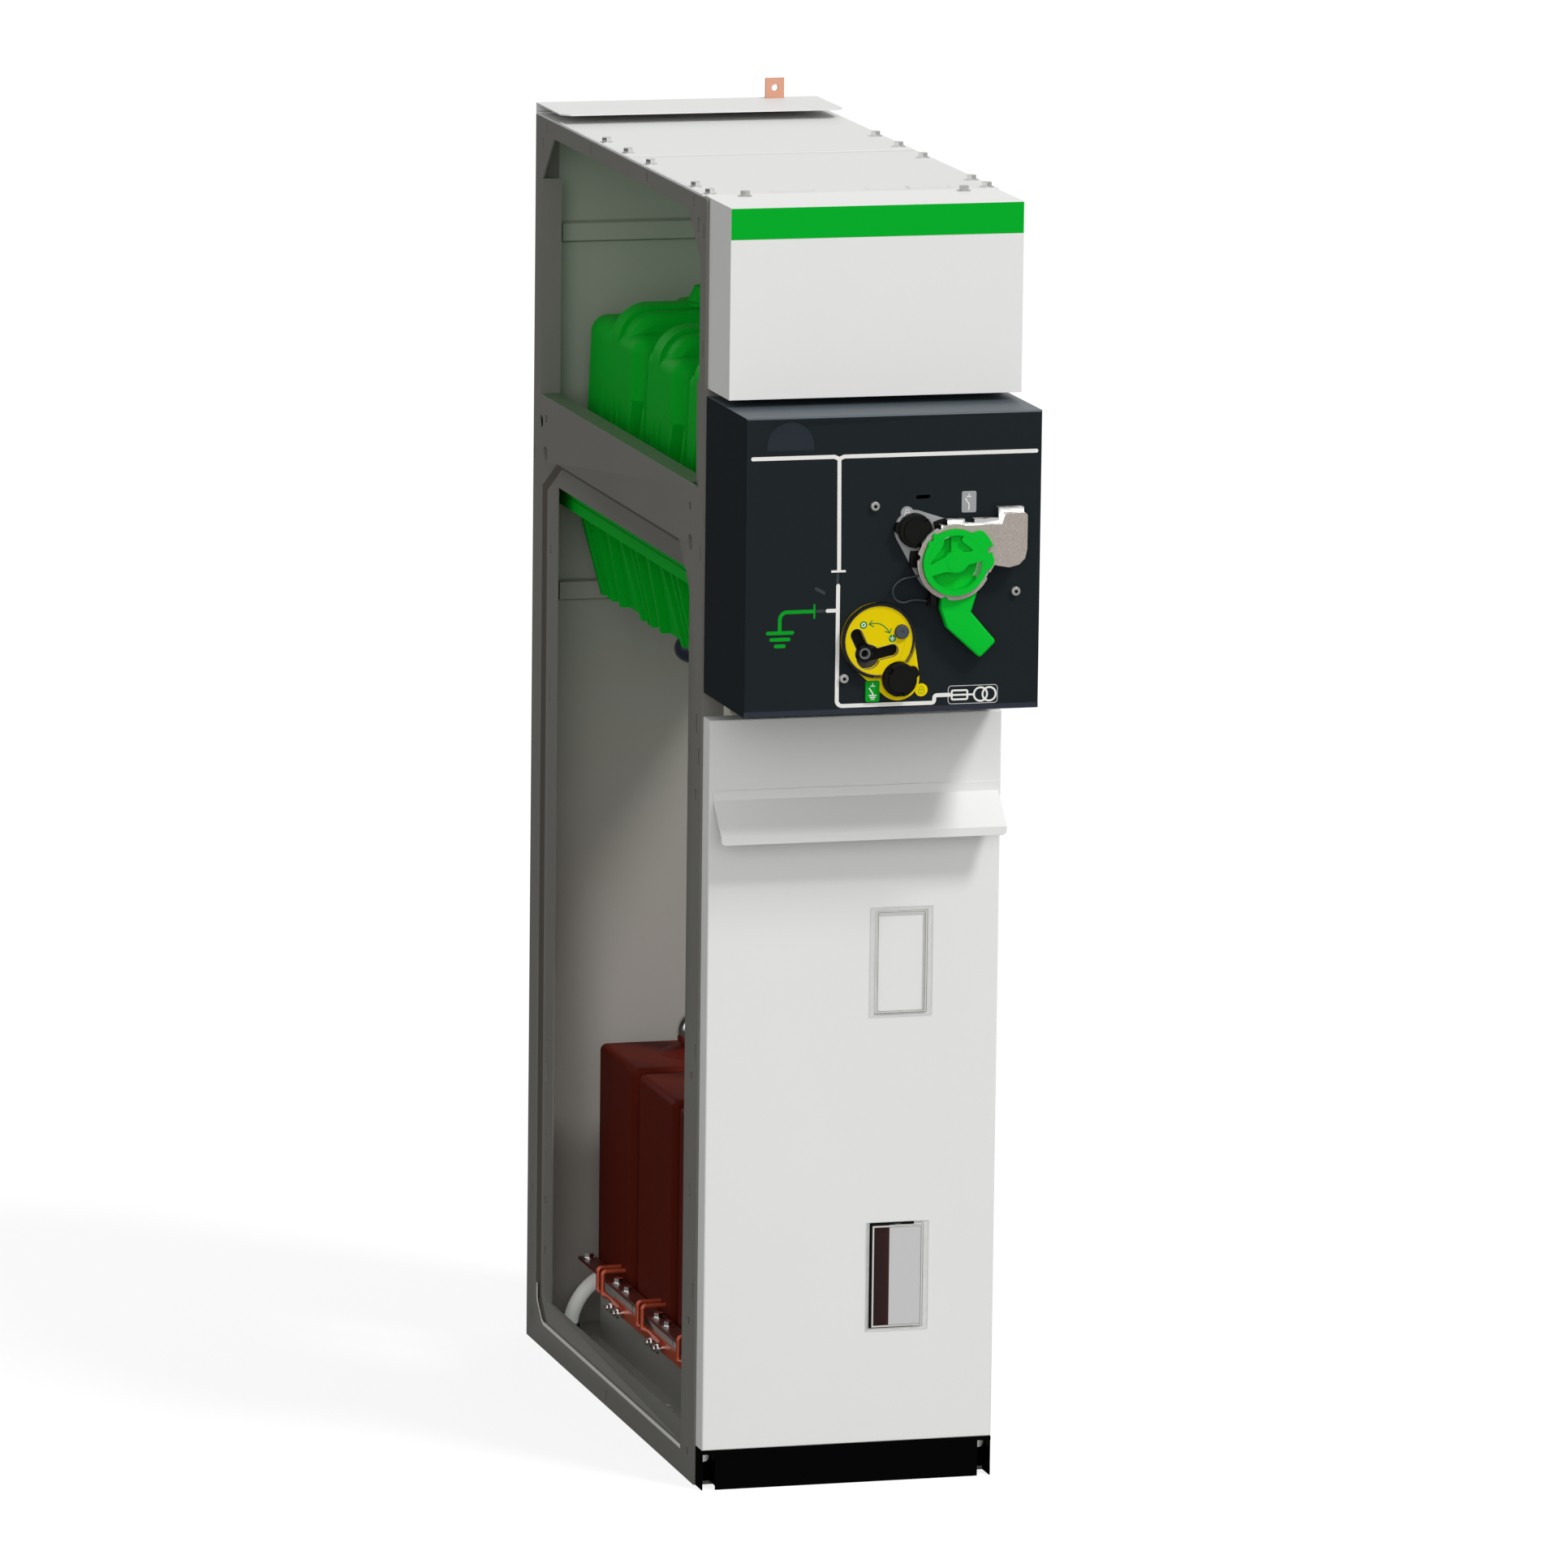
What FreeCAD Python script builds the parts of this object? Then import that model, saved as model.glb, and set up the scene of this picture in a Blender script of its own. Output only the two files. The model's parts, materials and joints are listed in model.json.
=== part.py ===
import FreeCAD, Part
import math
import os

os.makedirs("parts", exist_ok=True)

# Air-insulated switchgear panel, seen from the front: X to the right, Y to the back, Z up.
# The origin lies on the floor, at the centre of the cubicle's footprint. All sizes are in mm.

# Cubicle
cubicle_width = 375.0
cubicle_depth = 840.0
cubicle_height = 1600.0
frame_sheet = 2.0
cover_sheet = 1.5
seat_gap = 0.3          # between pieces that only stand close to each other
turn_gap = 0.05         # radial, between a shaft and its bearing
roof_sheet = 2.0
plinth_height = 50.0

left = -cubicle_width / 2
right = cubicle_width / 2
front = -cubicle_depth / 2
rear = cubicle_depth / 2
frame_top = cubicle_height - roof_sheet

# Levels that hang from the top of the cubicle
cover_depth = 98.5
cover_bottom = cubicle_height - 233.4
mech_depth = 184.4
mech_top = cover_bottom - 9.4
mech_bottom = mech_top - 364.3
panel_top = mech_bottom - 29.8
beam_bottom = cubicle_height - 468.0

# Side frames
front_flange = 28.0     # returns of the side sheet, measured across the cubicle
rear_flange = 30.0
top_flange = 24.0
bottom_flange = 46.0
front_post_upper = 27.0
rear_post_upper = 35.0
front_post_lower = 78.0
rear_post_lower = 107.0
top_rail = 23.0
bottom_rail = 64.0
beam_height = 110.0
beam_shelf = 37.5       # lower lip of the cross beam, which carries the switch tank
opening_lip = 26.0
gusset = 58.0
pan_depth = 5.0         # pressed step round the lower opening
pan_slope = 6.0
pan_rear = 49.0         # from the rear edge of the cubicle to the step
pan_front = 62.0
pan_bottom = 30.0
pan_over_beam = 32.0    # the step's top run above the beam's lower edge
coupling_hole_r = 10.0
coupling_bush_r = 14.0
coupling_bush_depth = 6.0
coupling_y = rear - 62.0
coupling_z = beam_bottom + 36.0
anchor_hole_r = 7.0
anchor_x = right - 27.5
anchor_y = rear - 82.0
anchor_access_r = 12.0  # hole in the floor plate over each anchor
hook_hole = (rear - 40.0, beam_bottom + 75.0, 8.5)  # y, z, radius of two more round holes
low_hole = (rear - 29.0, 36.5, 3.5)
edge_slot_pitch = 251.0

# Rear panel and roof
panel_rib_height = 22.0
panel_rib_depth = 8.0
panel_rib_levels = (cubicle_height - 154.0, cubicle_height - 619.0)
panel_edge = 4.0        # rear panel's side gap inside the flanges
roof_split = -35.0      # joint between the two roof panels
roof_overlap = 18.0
roof_bolt_x = right - 12.5
roof_bolt_rows = (110.0, 4.0, -105.0, front + 100.0)
deflector_rise = 13.0
deflector_length = 132.0
deflector_corner = 12.0
bolt_head_r = 6.5
bolt_head_height = 5.5
bolt_washer_r = 8.5
bolt_washer_height = 1.2

# Upper front cover and the wall behind it
cover_half_width = right - 3.8
cover_tongue = 24.0     # its top runs back over the roof by this much
cover_screw_x = right - 49.5
cover_screw_back = 6.0  # behind the joint between the cover and the frames
plinth_screw_inset = 9.0
plinth_screw_drop = 13.0
wall_return = 66.0
wall_slot_lefts = (-95.0, 25.0, 77.0)
wall_slot_width = 52.0
wall_slot_back = 30.0
wall_slot_depth = 16.0

# Operating mechanism
mech_half_width = right - 2.4
mech_wall = 2.5
mech_corner = 5.0
chassis_depth = 68.0
chassis_half_width = right - 8.5
chassis_bottom = mech_bottom + 5.1
chassis_top = cover_bottom - 0.6
main_x = 70.0           # main selector axis
main_z = mech_bottom + 186.1
earth_x = -36.1         # earthing socket axis
earth_z = mech_bottom + 75.1
dial_x = -19.1          # yellow dial centre
dial_z = earth_z + 15.6
dial_r = 42.5
dial_rim = 3.5
dial_thickness = 6.0
plate_thickness = 2.6
main_knob_x = 24.5
main_knob_z = main_z + 37.5
earth_knob_x = 7.5
earth_knob_z = earth_z - 33.0
main_plate_margin = 3.2     # plate round its lock knob
earth_plate_margin = 5.7
dial_plate_margin = 3.0
knob_r = 20.8
knob_height = 10.5
knob_lug = 4.5
knob_stem_r = 8.0
cap_r = 40.4
cap_core_r = 30.0
ring_r = 46.5
ring_thickness = 5.0
lever_back = 8.2        # rear of the cast lever, in front of the mechanism's face
lever_thickness = 16.4
cap_stand = 5.5         # green cap's face in front of the lever's face
cap_pocket = 13.0
arm_thickness = 11.0
arm_corners = ((-14.0, -22.0), (-15.0, -58.0), (-7.0, -81.0), (35.0, -119.0), (55.0, -99.5),
               (23.0, -62.5), (30.0, -40.0), (22.0, -22.0))     # (x, z) from the selector's axis
lever_corners = ((-16.0, 44.5), (58.5, 44.5), (63.0, 58.0), (88.0, 58.0), (91.0, 55.0), (91.0, 14.0),
                 (88.5, 2.0), (81.0, -5.5), (69.0, -8.5), (57.0, -6.5), (50.0, -5.0), (39.0, -24.5),
                 (24.0, -30.0), (10.0, -30.0), (-16.0, 30.0))
lever_rim_height = 6.5  # low rim along the lever's upper edge
ring_notch_r = 4.2
ring_notch_at = 47.5
ring_notch_angles = (112.0, -22.0, -104.0, 172.0)
cap_bar_half = 6.5      # grip bar between the cap's two hollows
cap_bar_turn = 14.0
cap_hub_r = 12.5
cap_rim = 6.0
main_shaft_r = 9.0
guard_r = 51.0          # raised guard beside the main lock knob
guard_right = 10.0
guard_low = -8.0
earth_hub_r = 10.8
earth_hub_ring_r = 6.8
earth_hub_bore_r = 4.6
earth_hub_bore_depth = 22.0
slot_half_width = 7.5
pocket_r = 15.0
pocket_shift = 4.0      # sideways and down from the socket
lever_slot_places = ((0.0, 115.0, 25.5), (pocket_shift, 13.2, 31.0))    # start off the socket, turn, reach
hub_clear = 1.6
knob_clear = 1.8
button_clear = 0.4
button_x = 9.3
button_z = earth_z + 25.5
button_r = 8.4
button_stand = 4.5
button_travel = 3.0
button_stop_rim = 1.1   # its stop behind the cover, round the stem
window_width = 4.6
window_length = 17.0
indicator_windows = ((-68.5, 47.5, 90.0), (-90.5, 33.2, 150.0), (-90.0, 8.6, 0.0))  # x, rise, turn
indicator_sheet = 1.5
recess_x = 55.9 - mech_half_width
recess_z = mech_top - 40.2
recess_r = 29.7
recess_straight = 5.3
recess_depth = 0.8
mech_screw_places = ((-24.1, 253.6), (153.9, 144.3), (-60.4, 44.3))    # x, height over the lower edge
mech_screw_r = 5.8
mech_screw_height = 4.6
key_slot = (36.7, main_z + 76.6, 18.0, 4.8)

# Lower front panel, its handle and windows
panel_depth = 31.1
panel_half_width = right - 2.3
panel_lip = 12.0
handle_top = panel_top - 99.1
handle_fold = handle_top - 38.0
handle_bottom = handle_fold - 11.0
handle_reach = 40.0
handle_left = left + 7.5
handle_right = right - 5.5
window_x = 61.3
window_levels = (panel_top - 308.4, plinth_height + 209.6)
bezel_width = 80.0
bezel_height = 137.3
pane_width = 65.3
pane_height = 128.6
pane_sheet = 2.0
bezel_sheet = 1.6
clip_inset = 5.3

# Plinth and floor
plinth_wing = 16.0      # width of the set-back end pieces
plinth_wing_rise = 5.0
floor_level = 14.0
floor_half_width = right - 10.5
cable_hole_r = 34.0     # openings in the floor, one for each phase

# Switch tank
phase_pitch = (cubicle_depth - 440.0) / 2
phase_middle = 50.0     # middle phase, behind the cubicle's centre
tank_joint = beam_bottom - 17.0
gasket_thickness = 1.0
tank_flange_half_width = right - 24.5
tank_flange_half_length = phase_pitch + 144.0
tank_lower_flange = 14.5
shell_wall = 5.0
shell_half_width = right - 53.5
shell_draft = 7.0       # each side leans in by this much up to the crown
shell_rear = rear - 32.0
shell_crown_z = beam_bottom + 214.0
shell_corner = 24.0
shell_crown = 22.0
lobe_rear = 0.255 * phase_pitch     # reach of a lobe behind and in front of its phase
lobe_front = 0.555 * phase_pitch
hump_rear = 0.07 * phase_pitch      # the raised part of each lobe, round its terminal
hump_front = 0.36 * phase_pitch
hump_top = beam_bottom + 239.0
hump_inset = 5.0
hump_round = 42.0
hump_end_round = 14.0
band_proud = 5.0
band_front = 27.0
band_rear = 9.0
waist_half_width = right - 79.5
waist_top = beam_bottom + 200.0
waist_overlap = 21.0    # how far a neck runs into the lobes
tank_bottom = beam_bottom - 142.0
lower_half_width = right - 52.5
lower_half_length = phase_pitch + 100.0
lower_taper = 24.0
lower_end_taper = 40.0
rib_proud = 11.0
lower_ribs_at = ((99.0, 15.0), (50.0, 9.0), (21.0, 9.0), (-41.0, 15.0))
lower_rib_fan = 0.67
lower_rib_thinning = 0.7
fin_height = 150.0
fin_reach = 15.0
fins_at = ((38.0, 8.0), (-14.0, 4.0), (-41.0, 4.0), (-100.0, 9.0))
pad_r = 43.0
pad_thickness = 6.0
boss_base_r = 30.0
boss_top_r = 21.0
boss_height = 18.0
stud_r = 12.0
busbar_thread_r = 5.1
busbar_thread_depth = 24.0
shaft_r = 18.0
shaft_z = tank_joint - 3.0
journal_r = 11.0
blade_reach = 74.0
blade_width = 30.0
blade_thickness = 8.0
blade_angle = 38.0
blade_gap = 2.0
finger_width = 24.0
finger_thickness = 4.0
finger_grip = 16.0
finger_root = 12.0
field_ring_r = 42.0
field_ring_height = 34.0
field_ring_level = tank_bottom - 62.0
stem_r = 20.0

# Fuses and voltage transformers
fuse_r = 19.0
fuse_cap_r = 22.0
fuse_cap_length = 33.0
vt_half_width = right - 72.5
vt_depth = phase_pitch - 25.0
vt_bottom = 104.0
vt_top = 401.0
vt_edge = 9.0
vt_dome_r = 58.0
vt_dome_height = 16.0
vt_ball_r = 34.0
vt_ball_level = 428.0
vt_neck_r = 22.0
support_half_width = vt_half_width + 2.0
support_sheet = 3.0
support_reach = 60.0    # beyond the outer phases
support_foot = 34.0
support_foot_rear = 12.0
support_bolt_x = support_half_width + 20.3
support_bolt_r = 4.5
support_bolt_offset = 49.0

# Earthing conductors
earth_bar_inner = support_half_width + 0.5
earth_bar_width = 23.0
earth_bar_thickness = 4.0
earth_bar_level = 116.0
earth_bar_rear = rear - 84.0
earth_bar_front = front + 158.0
earth_strip_top = 105.0
earth_strip_height = 17.0
earth_strip_thickness = 3.0
earth_strip_rear = rear - 262.0
earth_bolt_offsets = (-77.0, -126.0)
bracket_reach = (-198.0, -52.0)
bracket_hole_r = 4.0
lead_r = 3.0            # bent copper leads from the transformers' terminals
lead_offsets = (-33.0, -56.0)
lead_top = 131.0
lead_drop = 100.0
lead_end = 101.0
lead_bend = 5.0
lead_clear = 1.0
clamp_offsets = (-104.0, -138.0)
clamp_bolt_r = 3.0
clamp_washer_r = 7.5
clamp_washer = 1.4
clamp_nut_r = 5.2
clamp_nut = 4.6
tab_width = 24.5
tab_thickness = 4.0
tab_x = right - 62.3
tab_top = cubicle_height + 39.0
tab_hole_r = 4.3
tab_hole_z = tab_top - 12.6
tab_foot = cubicle_height - 110.0

# Wiring conduit
conduit_r = 9.5
conduit_y = rear - 58.0
conduit_points = ((42.5, 14.0), (46.5, 42.0), (60.5, 67.0), (83.5, 86.0), (125.5, 88.0))
gland_r = 14.0
gland_height = 12.0
box_width = 52.0
box_bottom = 58.0

# Lanyard of the green cap
lanyard_r = 1.3
lanyard_points = ((-33.0, -16.0), (-45.0, -18.5), (-62.0, -20.5), (-73.5, -31.0), (-72.0, -45.0),
                  (-59.5, -51.5), (-46.0, -45.5), (-30.0, -49.0))     # (x, z) from the selector's axis
clip_length = 10.0
clip_half_depth = 3.4
clip_below = 5.5
clip_above = 3.5
hook_width = 7.0
hook_reach = 12.0

V = FreeCAD.Vector
mech_face = front - mech_depth
cover_face = front - cover_depth
panel_face = front - panel_depth
beam_top = beam_bottom + beam_height
plate_face = mech_face - plate_thickness
lever_rear = mech_face - lever_back
lever_face = lever_rear - lever_thickness
tab_rear = rear - frame_sheet - 6.0
bracket_face = -earth_bar_inner - earth_bar_width + 4.0
strip_face = earth_strip_thickness - bracket_face
ring_back = lever_face + ring_thickness
lanyard_y = ring_back + 10.0
terminal_face = hump_top + pad_thickness + boss_height
cap_face = lever_face - cap_stand
chassis_back = front + chassis_depth
phases = tuple(phase_middle + phase_pitch * step for step in (1, 0, -1))
phase_names = ("rear", "middle", "front")
lower_rear = phase_middle + lower_half_length
lower_front = phase_middle - lower_half_length


def block(x0, x1, y0, y1, z0, z1):
    """A box between two corners."""
    return Part.makeBox(x1 - x0, y1 - y0, z1 - z0, V(x0, y0, z0))


def rod(radius, start, end):
    """A cylinder from one point to another."""
    along = V(*end) - V(*start)
    return Part.makeCylinder(radius, along.Length, V(*start), along)


def rod_y(radius, x, z, y0, y1):
    """A cylinder along the cubicle's depth."""
    return Part.makeCylinder(radius, y1 - y0, V(x, y0, z), V(0, 1, 0))


def rod_z(radius, x, y, z0, z1):
    """An upright cylinder."""
    return Part.makeCylinder(radius, z1 - z0, V(x, y, z0), V(0, 0, 1))


def cone_z(r0, r1, x, y, z0, z1):
    """An upright cone, r0 wide at z0 and r1 wide at z1."""
    return Part.makeCone(r0, r1, z1 - z0, V(x, y, z0), V(0, 0, 1))


def prism(points, push):
    """A straight-sided outline, pushed along a vector."""
    wire = Part.makePolygon([V(*p) for p in points] + [V(*points[0])])
    return Part.Face(wire).extrude(V(*push))


def front_prism(points, y0, y1):
    """An outline of (x, z) points seen from the front, between two depths."""
    return prism([(x, y0, z) for x, z in points], (0, y1 - y0, 0))


def side_prism(points, x0, x1):
    """An outline of (y, z) points seen from the side, between two widths."""
    return prism([(x0, y, z) for y, z in points], (x1 - x0, 0, 0))


def joined(shapes):
    """Several solids as one."""
    shapes = list(shapes)
    whole = shapes[0]
    if len(shapes) > 1:
        whole = whole.fuse(shapes[1:])
    return whole.removeSplitter()


def mirrored(shape):
    """The same shape on the other side of the cubicle."""
    return shape.mirror(V(0, 0, 0), V(1, 0, 0))


def tangent_hull(x0, z0, r0, x1, z1, r1, y0, y1):
    """A flat teardrop: two circles and the two lines that touch both."""
    gap = math.hypot(x1 - x0, z1 - z0)
    heading = math.atan2(z1 - z0, x1 - x0)
    spread = math.acos((r0 - r1) / gap)
    a0 = V(x0 + r0 * math.cos(heading + spread), y0, z0 + r0 * math.sin(heading + spread))
    a1 = V(x1 + r1 * math.cos(heading + spread), y0, z1 + r1 * math.sin(heading + spread))
    b0 = V(x0 + r0 * math.cos(heading - spread), y0, z0 + r0 * math.sin(heading - spread))
    b1 = V(x1 + r1 * math.cos(heading - spread), y0, z1 + r1 * math.sin(heading - spread))
    far = V(x1 + r1 * math.cos(heading), y0, z1 + r1 * math.sin(heading))
    near = V(x0 - r0 * math.cos(heading), y0, z0 - r0 * math.sin(heading))
    edges = [Part.LineSegment(a0, a1).toShape(), Part.Arc(a1, far, b1).toShape(),
             Part.LineSegment(b1, b0).toShape(), Part.Arc(b0, near, a0).toShape()]
    return Part.Face(Part.Wire(edges)).extrude(V(0, y1 - y0, 0))


def slot_bar(x, z, angle, length, half_width, y0, y1):
    """A round-ended bar from (x, z), running out at an angle."""
    turn = math.radians(angle)
    end_x = x + length * math.cos(turn)
    end_z = z + length * math.sin(turn)
    return tangent_hull(x, z, half_width, end_x, end_z, half_width, y0, y1)


def ruled(lower, upper):
    """A solid between two outlines with as many points."""
    wires = [Part.makePolygon([V(*p) for p in ring] + [V(*ring[0])]) for ring in (lower, upper)]
    return Part.makeLoft(wires, True, True)


def edges_where(shape, test):
    """The straight edges of a shape that pass a test on their two ends."""
    found = []
    for edge in shape.Edges:
        if len(edge.Vertexes) == 2 and test(edge.Vertexes[0].Point, edge.Vertexes[1].Point):
            found.append(edge)
    return found


def hex_screw(x, y, z):
    """A hexagon head with its washer, standing on a level face."""
    corners = []
    for side in range(6):
        turn = math.radians(60 * side + 15)
        corners.append((x + bolt_head_r * math.cos(turn), y + bolt_head_r * math.sin(turn),
                        z + bolt_washer_height))
    head = prism(corners, (0, 0, bolt_head_height))
    return head.fuse(rod_z(bolt_washer_r, x, y, z, z + bolt_washer_height)).removeSplitter()


def save(name, shape):
    """Write one piece to its own file."""
    shape.exportStep("parts/" + name + ".step")
    print(name, len(shape.Solids), shape.isValid(), round(shape.Volume / 1000.0, 1))


# Side frames: one pressed sheet each, with a return on every edge.

def pan_outline(inset):
    """Outline of the pressed step round the lower opening, shrunk by an inset."""
    y_rear = rear - pan_rear - inset
    y_front = front + pan_front + inset
    z_top = beam_bottom + pan_over_beam - inset
    z_low = pan_bottom + inset
    return [(y_rear, z_top - 38), (y_rear - 73, z_top), (y_front + 53, z_top), (y_front, z_top - 54),
            (y_front, z_low), (y_rear - 31, z_low), (y_rear, z_low + 28)]


def upper_opening():
    """Outline of the opening into the busbar space."""
    y_front = front + front_post_upper
    y_rear = rear - rear_post_upper
    z_top = cubicle_height - top_rail
    return [(y_front, beam_top), (y_rear, beam_top), (y_rear, z_top - gusset),
            (y_rear - gusset, z_top), (y_front + gusset, z_top), (y_front, z_top - gusset)]


def lower_opening():
    """Outline of the opening into the cable space."""
    y_front = front + front_post_lower
    y_rear = rear - rear_post_lower
    return [(y_front, bottom_rail), (y_rear, bottom_rail), (y_rear, beam_bottom), (y_front, beam_bottom)]


def frame_slots():
    """Small punched slots: (y, z, width, height)."""
    top_row = cubicle_height - 12.0
    post = front + 23.0
    rear_post = rear - 74.0
    slots = [(y, top_row, 5.0, 12.0) for y in (rear - 57.0, 142.0, -135.0, front + 61.0)]
    slots += [(rear - 36.0, top_row - 24.0, 5.0, 14.0), (front + 38.0, top_row - 26.0, 9.0, 18.0)]
    slots += [(front + 13.0, top_row - 31.0, 4.5, 18.0)]
    slots += [(front + 12.0, beam_bottom + 30.0 + step * edge_slot_pitch, 4.5, 20.0) for step in (1, 0, -1)]
    slots += [(front + 12.0, z, 4.5, 20.0) for z in (542.0, 243.0)]
    slots += [(rear - 6.0, beam_bottom + 32.0, 4.0, 20.0), (rear - 64.0, beam_top - 28.0, 9.0, 9.0)]
    slots += [(post + 42.0, beam_top - 29.0, 9.0, 9.0), (post, beam_bottom - 182.0, 6.0, 23.0)]
    slots += [(post + 1.0, beam_bottom - 270.0, 8.0, 13.0)]
    slots += [(post + 8.0, z, 9.0, 9.0) for z in (510.0, 201.5, 36.5)]
    slots += [(post + 9.0, 366.0, 5.0, 16.0)]
    slots += [(rear_post, z, 5.0, 10.0) for z in (beam_bottom - 86.0, 278.0, 254.0, 194.0, 128.0)]
    slots += [(rear_post, beam_bottom - 268.0, 6.0, 30.0), (rear_post, 363.0, 9.0, 26.0)]
    slots += [(rear_post, 401.0, 4.0, 12.0)]
    slots += [(rear - 26.0, 201.0, 5.0, 10.0), (7.5, 14.0, 5.0, 12.0)]
    return slots


def side_frame():
    """Left side frame."""
    inside = left + frame_sheet
    sheet = block(left, inside, front, rear, 0, frame_top)
    outer = pan_outline(0.0)
    inner = pan_outline(pan_slope)
    hollow = ruled([(left, y, z) for y, z in outer], [(left + pan_depth, y, z) for y, z in inner])
    pressed = hollow.copy()
    pressed.translate(V(frame_sheet, 0, 0))
    sheet = sheet.fuse(pressed).cut(hollow)
    flanges = [block(left, left + front_flange, front, front + frame_sheet, 0, frame_top),
               block(left, left + rear_flange, rear - 2 * frame_sheet, rear - frame_sheet, 0, frame_top),
               block(left, left + top_flange, front, rear - frame_sheet, frame_top - frame_sheet, frame_top),
               block(left, left + bottom_flange, front, rear - frame_sheet, 0, frame_sheet)]
    y_rear = rear - rear_post_upper
    lips = [block(left, left + opening_lip, y_rear, y_rear + frame_sheet, beam_top - frame_sheet,
                  cubicle_height - top_rail - gusset),
            block(left, left + opening_lip, front + front_post_upper + 45, y_rear + frame_sheet,
                  beam_top - frame_sheet, beam_top)]
    bushes = [rod(coupling_bush_r, (left, y, coupling_z), (left + coupling_bush_depth, y, coupling_z))
              for y in (-coupling_y, coupling_y)]
    whole = joined([sheet] + flanges + lips + bushes)
    wide = left - 1, left + 2 * pan_depth
    cuts = [side_prism(upper_opening(), wide[0], inside), side_prism(lower_opening(), wide[0], wide[1])]
    cuts += [block(wide[0], wide[1], y - w / 2, y + w / 2, z - h / 2, z + h / 2)
             for y, z, w, h in frame_slots()]
    cuts += [rod(coupling_hole_r, (wide[0], y, coupling_z), (wide[1], y, coupling_z))
             for y in (-coupling_y, coupling_y)]
    cuts += [rod(r, (wide[0], y, z), (wide[1], y, z)) for y, z, r in (hook_hole, low_hole)]
    cuts += [rod_z(anchor_hole_r, -anchor_x, y, -1, 2 * frame_sheet) for y in (-anchor_y, anchor_y)]
    shelf = block(left + pan_depth, left + beam_shelf, front + front_post_lower, rear - rear_post_lower,
                  beam_bottom, beam_bottom + frame_sheet)
    return whole.cut(cuts).fuse(shelf).removeSplitter()


def rear_panel():
    """Back sheet with two stiffening ribs pressed towards the inside."""
    half = cubicle_width / 2 - panel_edge
    rib_half = cubicle_width / 2 - rear_flange - panel_edge
    sheet = block(-half, half, rear - frame_sheet, rear, frame_sheet, frame_top)
    for level in panel_rib_levels:
        low = level - panel_rib_height / 2
        high = level + panel_rib_height / 2
        back = rear - frame_sheet
        rib = side_prism([(rear, low - 4), (back - panel_rib_depth, low), (back - panel_rib_depth, high),
                          (rear, high + 4)], -rib_half, rib_half)
        groove = side_prism([(rear + 1, low - 3), (rear - panel_rib_depth, low + 2),
                             (rear - panel_rib_depth, high - 2), (rear + 1, high + 3)],
                            -rib_half + frame_sheet, rib_half - frame_sheet)
        sheet = sheet.fuse(rib).cut(groove)
    return sheet.removeSplitter()


# Roof

def tab_slot():
    """Slot in the roof for the copper tab."""
    half = tab_width / 2 + 1
    return block(tab_x - half, tab_x + half, tab_rear - tab_thickness - 1, tab_rear + 1, frame_top - 1,
                 cubicle_height + deflector_rise + 1)


def roof_rear_panel():
    """Rear half of the roof; it laps over the front half."""
    half = cubicle_width / 2
    sheet = block(-half, half, roof_split, rear, frame_top, cubicle_height)
    lap = block(-half + top_flange, half - top_flange, roof_split - roof_overlap, roof_split + roof_overlap,
                frame_top - roof_sheet, frame_top)
    return joined([sheet, lap]).cut(tab_slot())


def roof_front_panel():
    """Front half of the roof."""
    half = cubicle_width / 2
    return block(-half, half, front + cover_tongue, roof_split - seat_gap, frame_top, cubicle_height)


def roof_deflector():
    """Raised plate over the roof's rear edge, on its own upstand."""
    half = cubicle_width / 2
    low = cubicle_height
    high = low + deflector_rise
    y0 = rear - deflector_length
    y1 = y0 + deflector_corner
    under = high - roof_sheet
    outline = [(-half, rear), (half - 3, rear), (half - 3, y1), (half - 3 - deflector_corner, y0),
               (-half + deflector_corner, y0), (-half, y1)]
    top = prism([(x, y, under) for x, y in outline], (0, 0, roof_sheet))
    upstand = block(-half, half - 3, rear - roof_sheet, rear, low, high)
    foot = block(-half, half - 3, rear - 16, rear, low, low + roof_sheet)
    return joined([top, upstand, foot]).cut(tab_slot())


def roof_bolts():
    """Ten bolts that hold the roof panels."""
    rows = list(roof_bolt_rows) + [front + cover_tongue + 9]
    places = [(side * roof_bolt_x, y) for side in (-1, 1) for y in rows]
    return Part.makeCompound([hex_screw(x, y, cubicle_height) for x, y in places])


# Upper front cover

def busbar_front_wall():
    """Wall between the busbar space and the front cover, with a return under the roof."""
    half = cubicle_width / 2 - frame_sheet - seat_gap
    y0 = front + frame_sheet
    wall = block(-half, half, y0, y0 + cover_sheet, chassis_top, frame_top - frame_sheet)
    inner = half - top_flange
    top = block(-inner, inner, y0, y0 + wall_return, frame_top - cover_sheet, frame_top)
    web = block(-inner, inner, y0, y0 + cover_sheet, frame_top - frame_sheet, frame_top)
    lip = block(-inner, inner, y0, y0 + 20, chassis_top, chassis_top + cover_sheet)
    near, far = y0 + wall_slot_back, y0 + wall_slot_back + wall_slot_depth
    slots = [block(x, x + wall_slot_width, near, far, frame_top - 5, frame_top + 1) for x in wall_slot_lefts]
    return joined([wall, top, web, lip]).cut(slots)


def upper_front_cover():
    """Folded cover of the low-voltage space; its top runs back over the front wall."""
    half = cover_half_width
    body = block(-half, half, cover_face, front, cover_bottom, cubicle_height)
    room = block(-half + cover_sheet, half - cover_sheet, cover_face + cover_sheet, front + 1,
                 cover_bottom + cover_sheet, cubicle_height - cover_sheet)
    tongue = block(-half, half, front, front + cover_tongue - seat_gap, frame_top, cubicle_height)
    return body.cut(room).fuse(tongue).removeSplitter()


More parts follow.
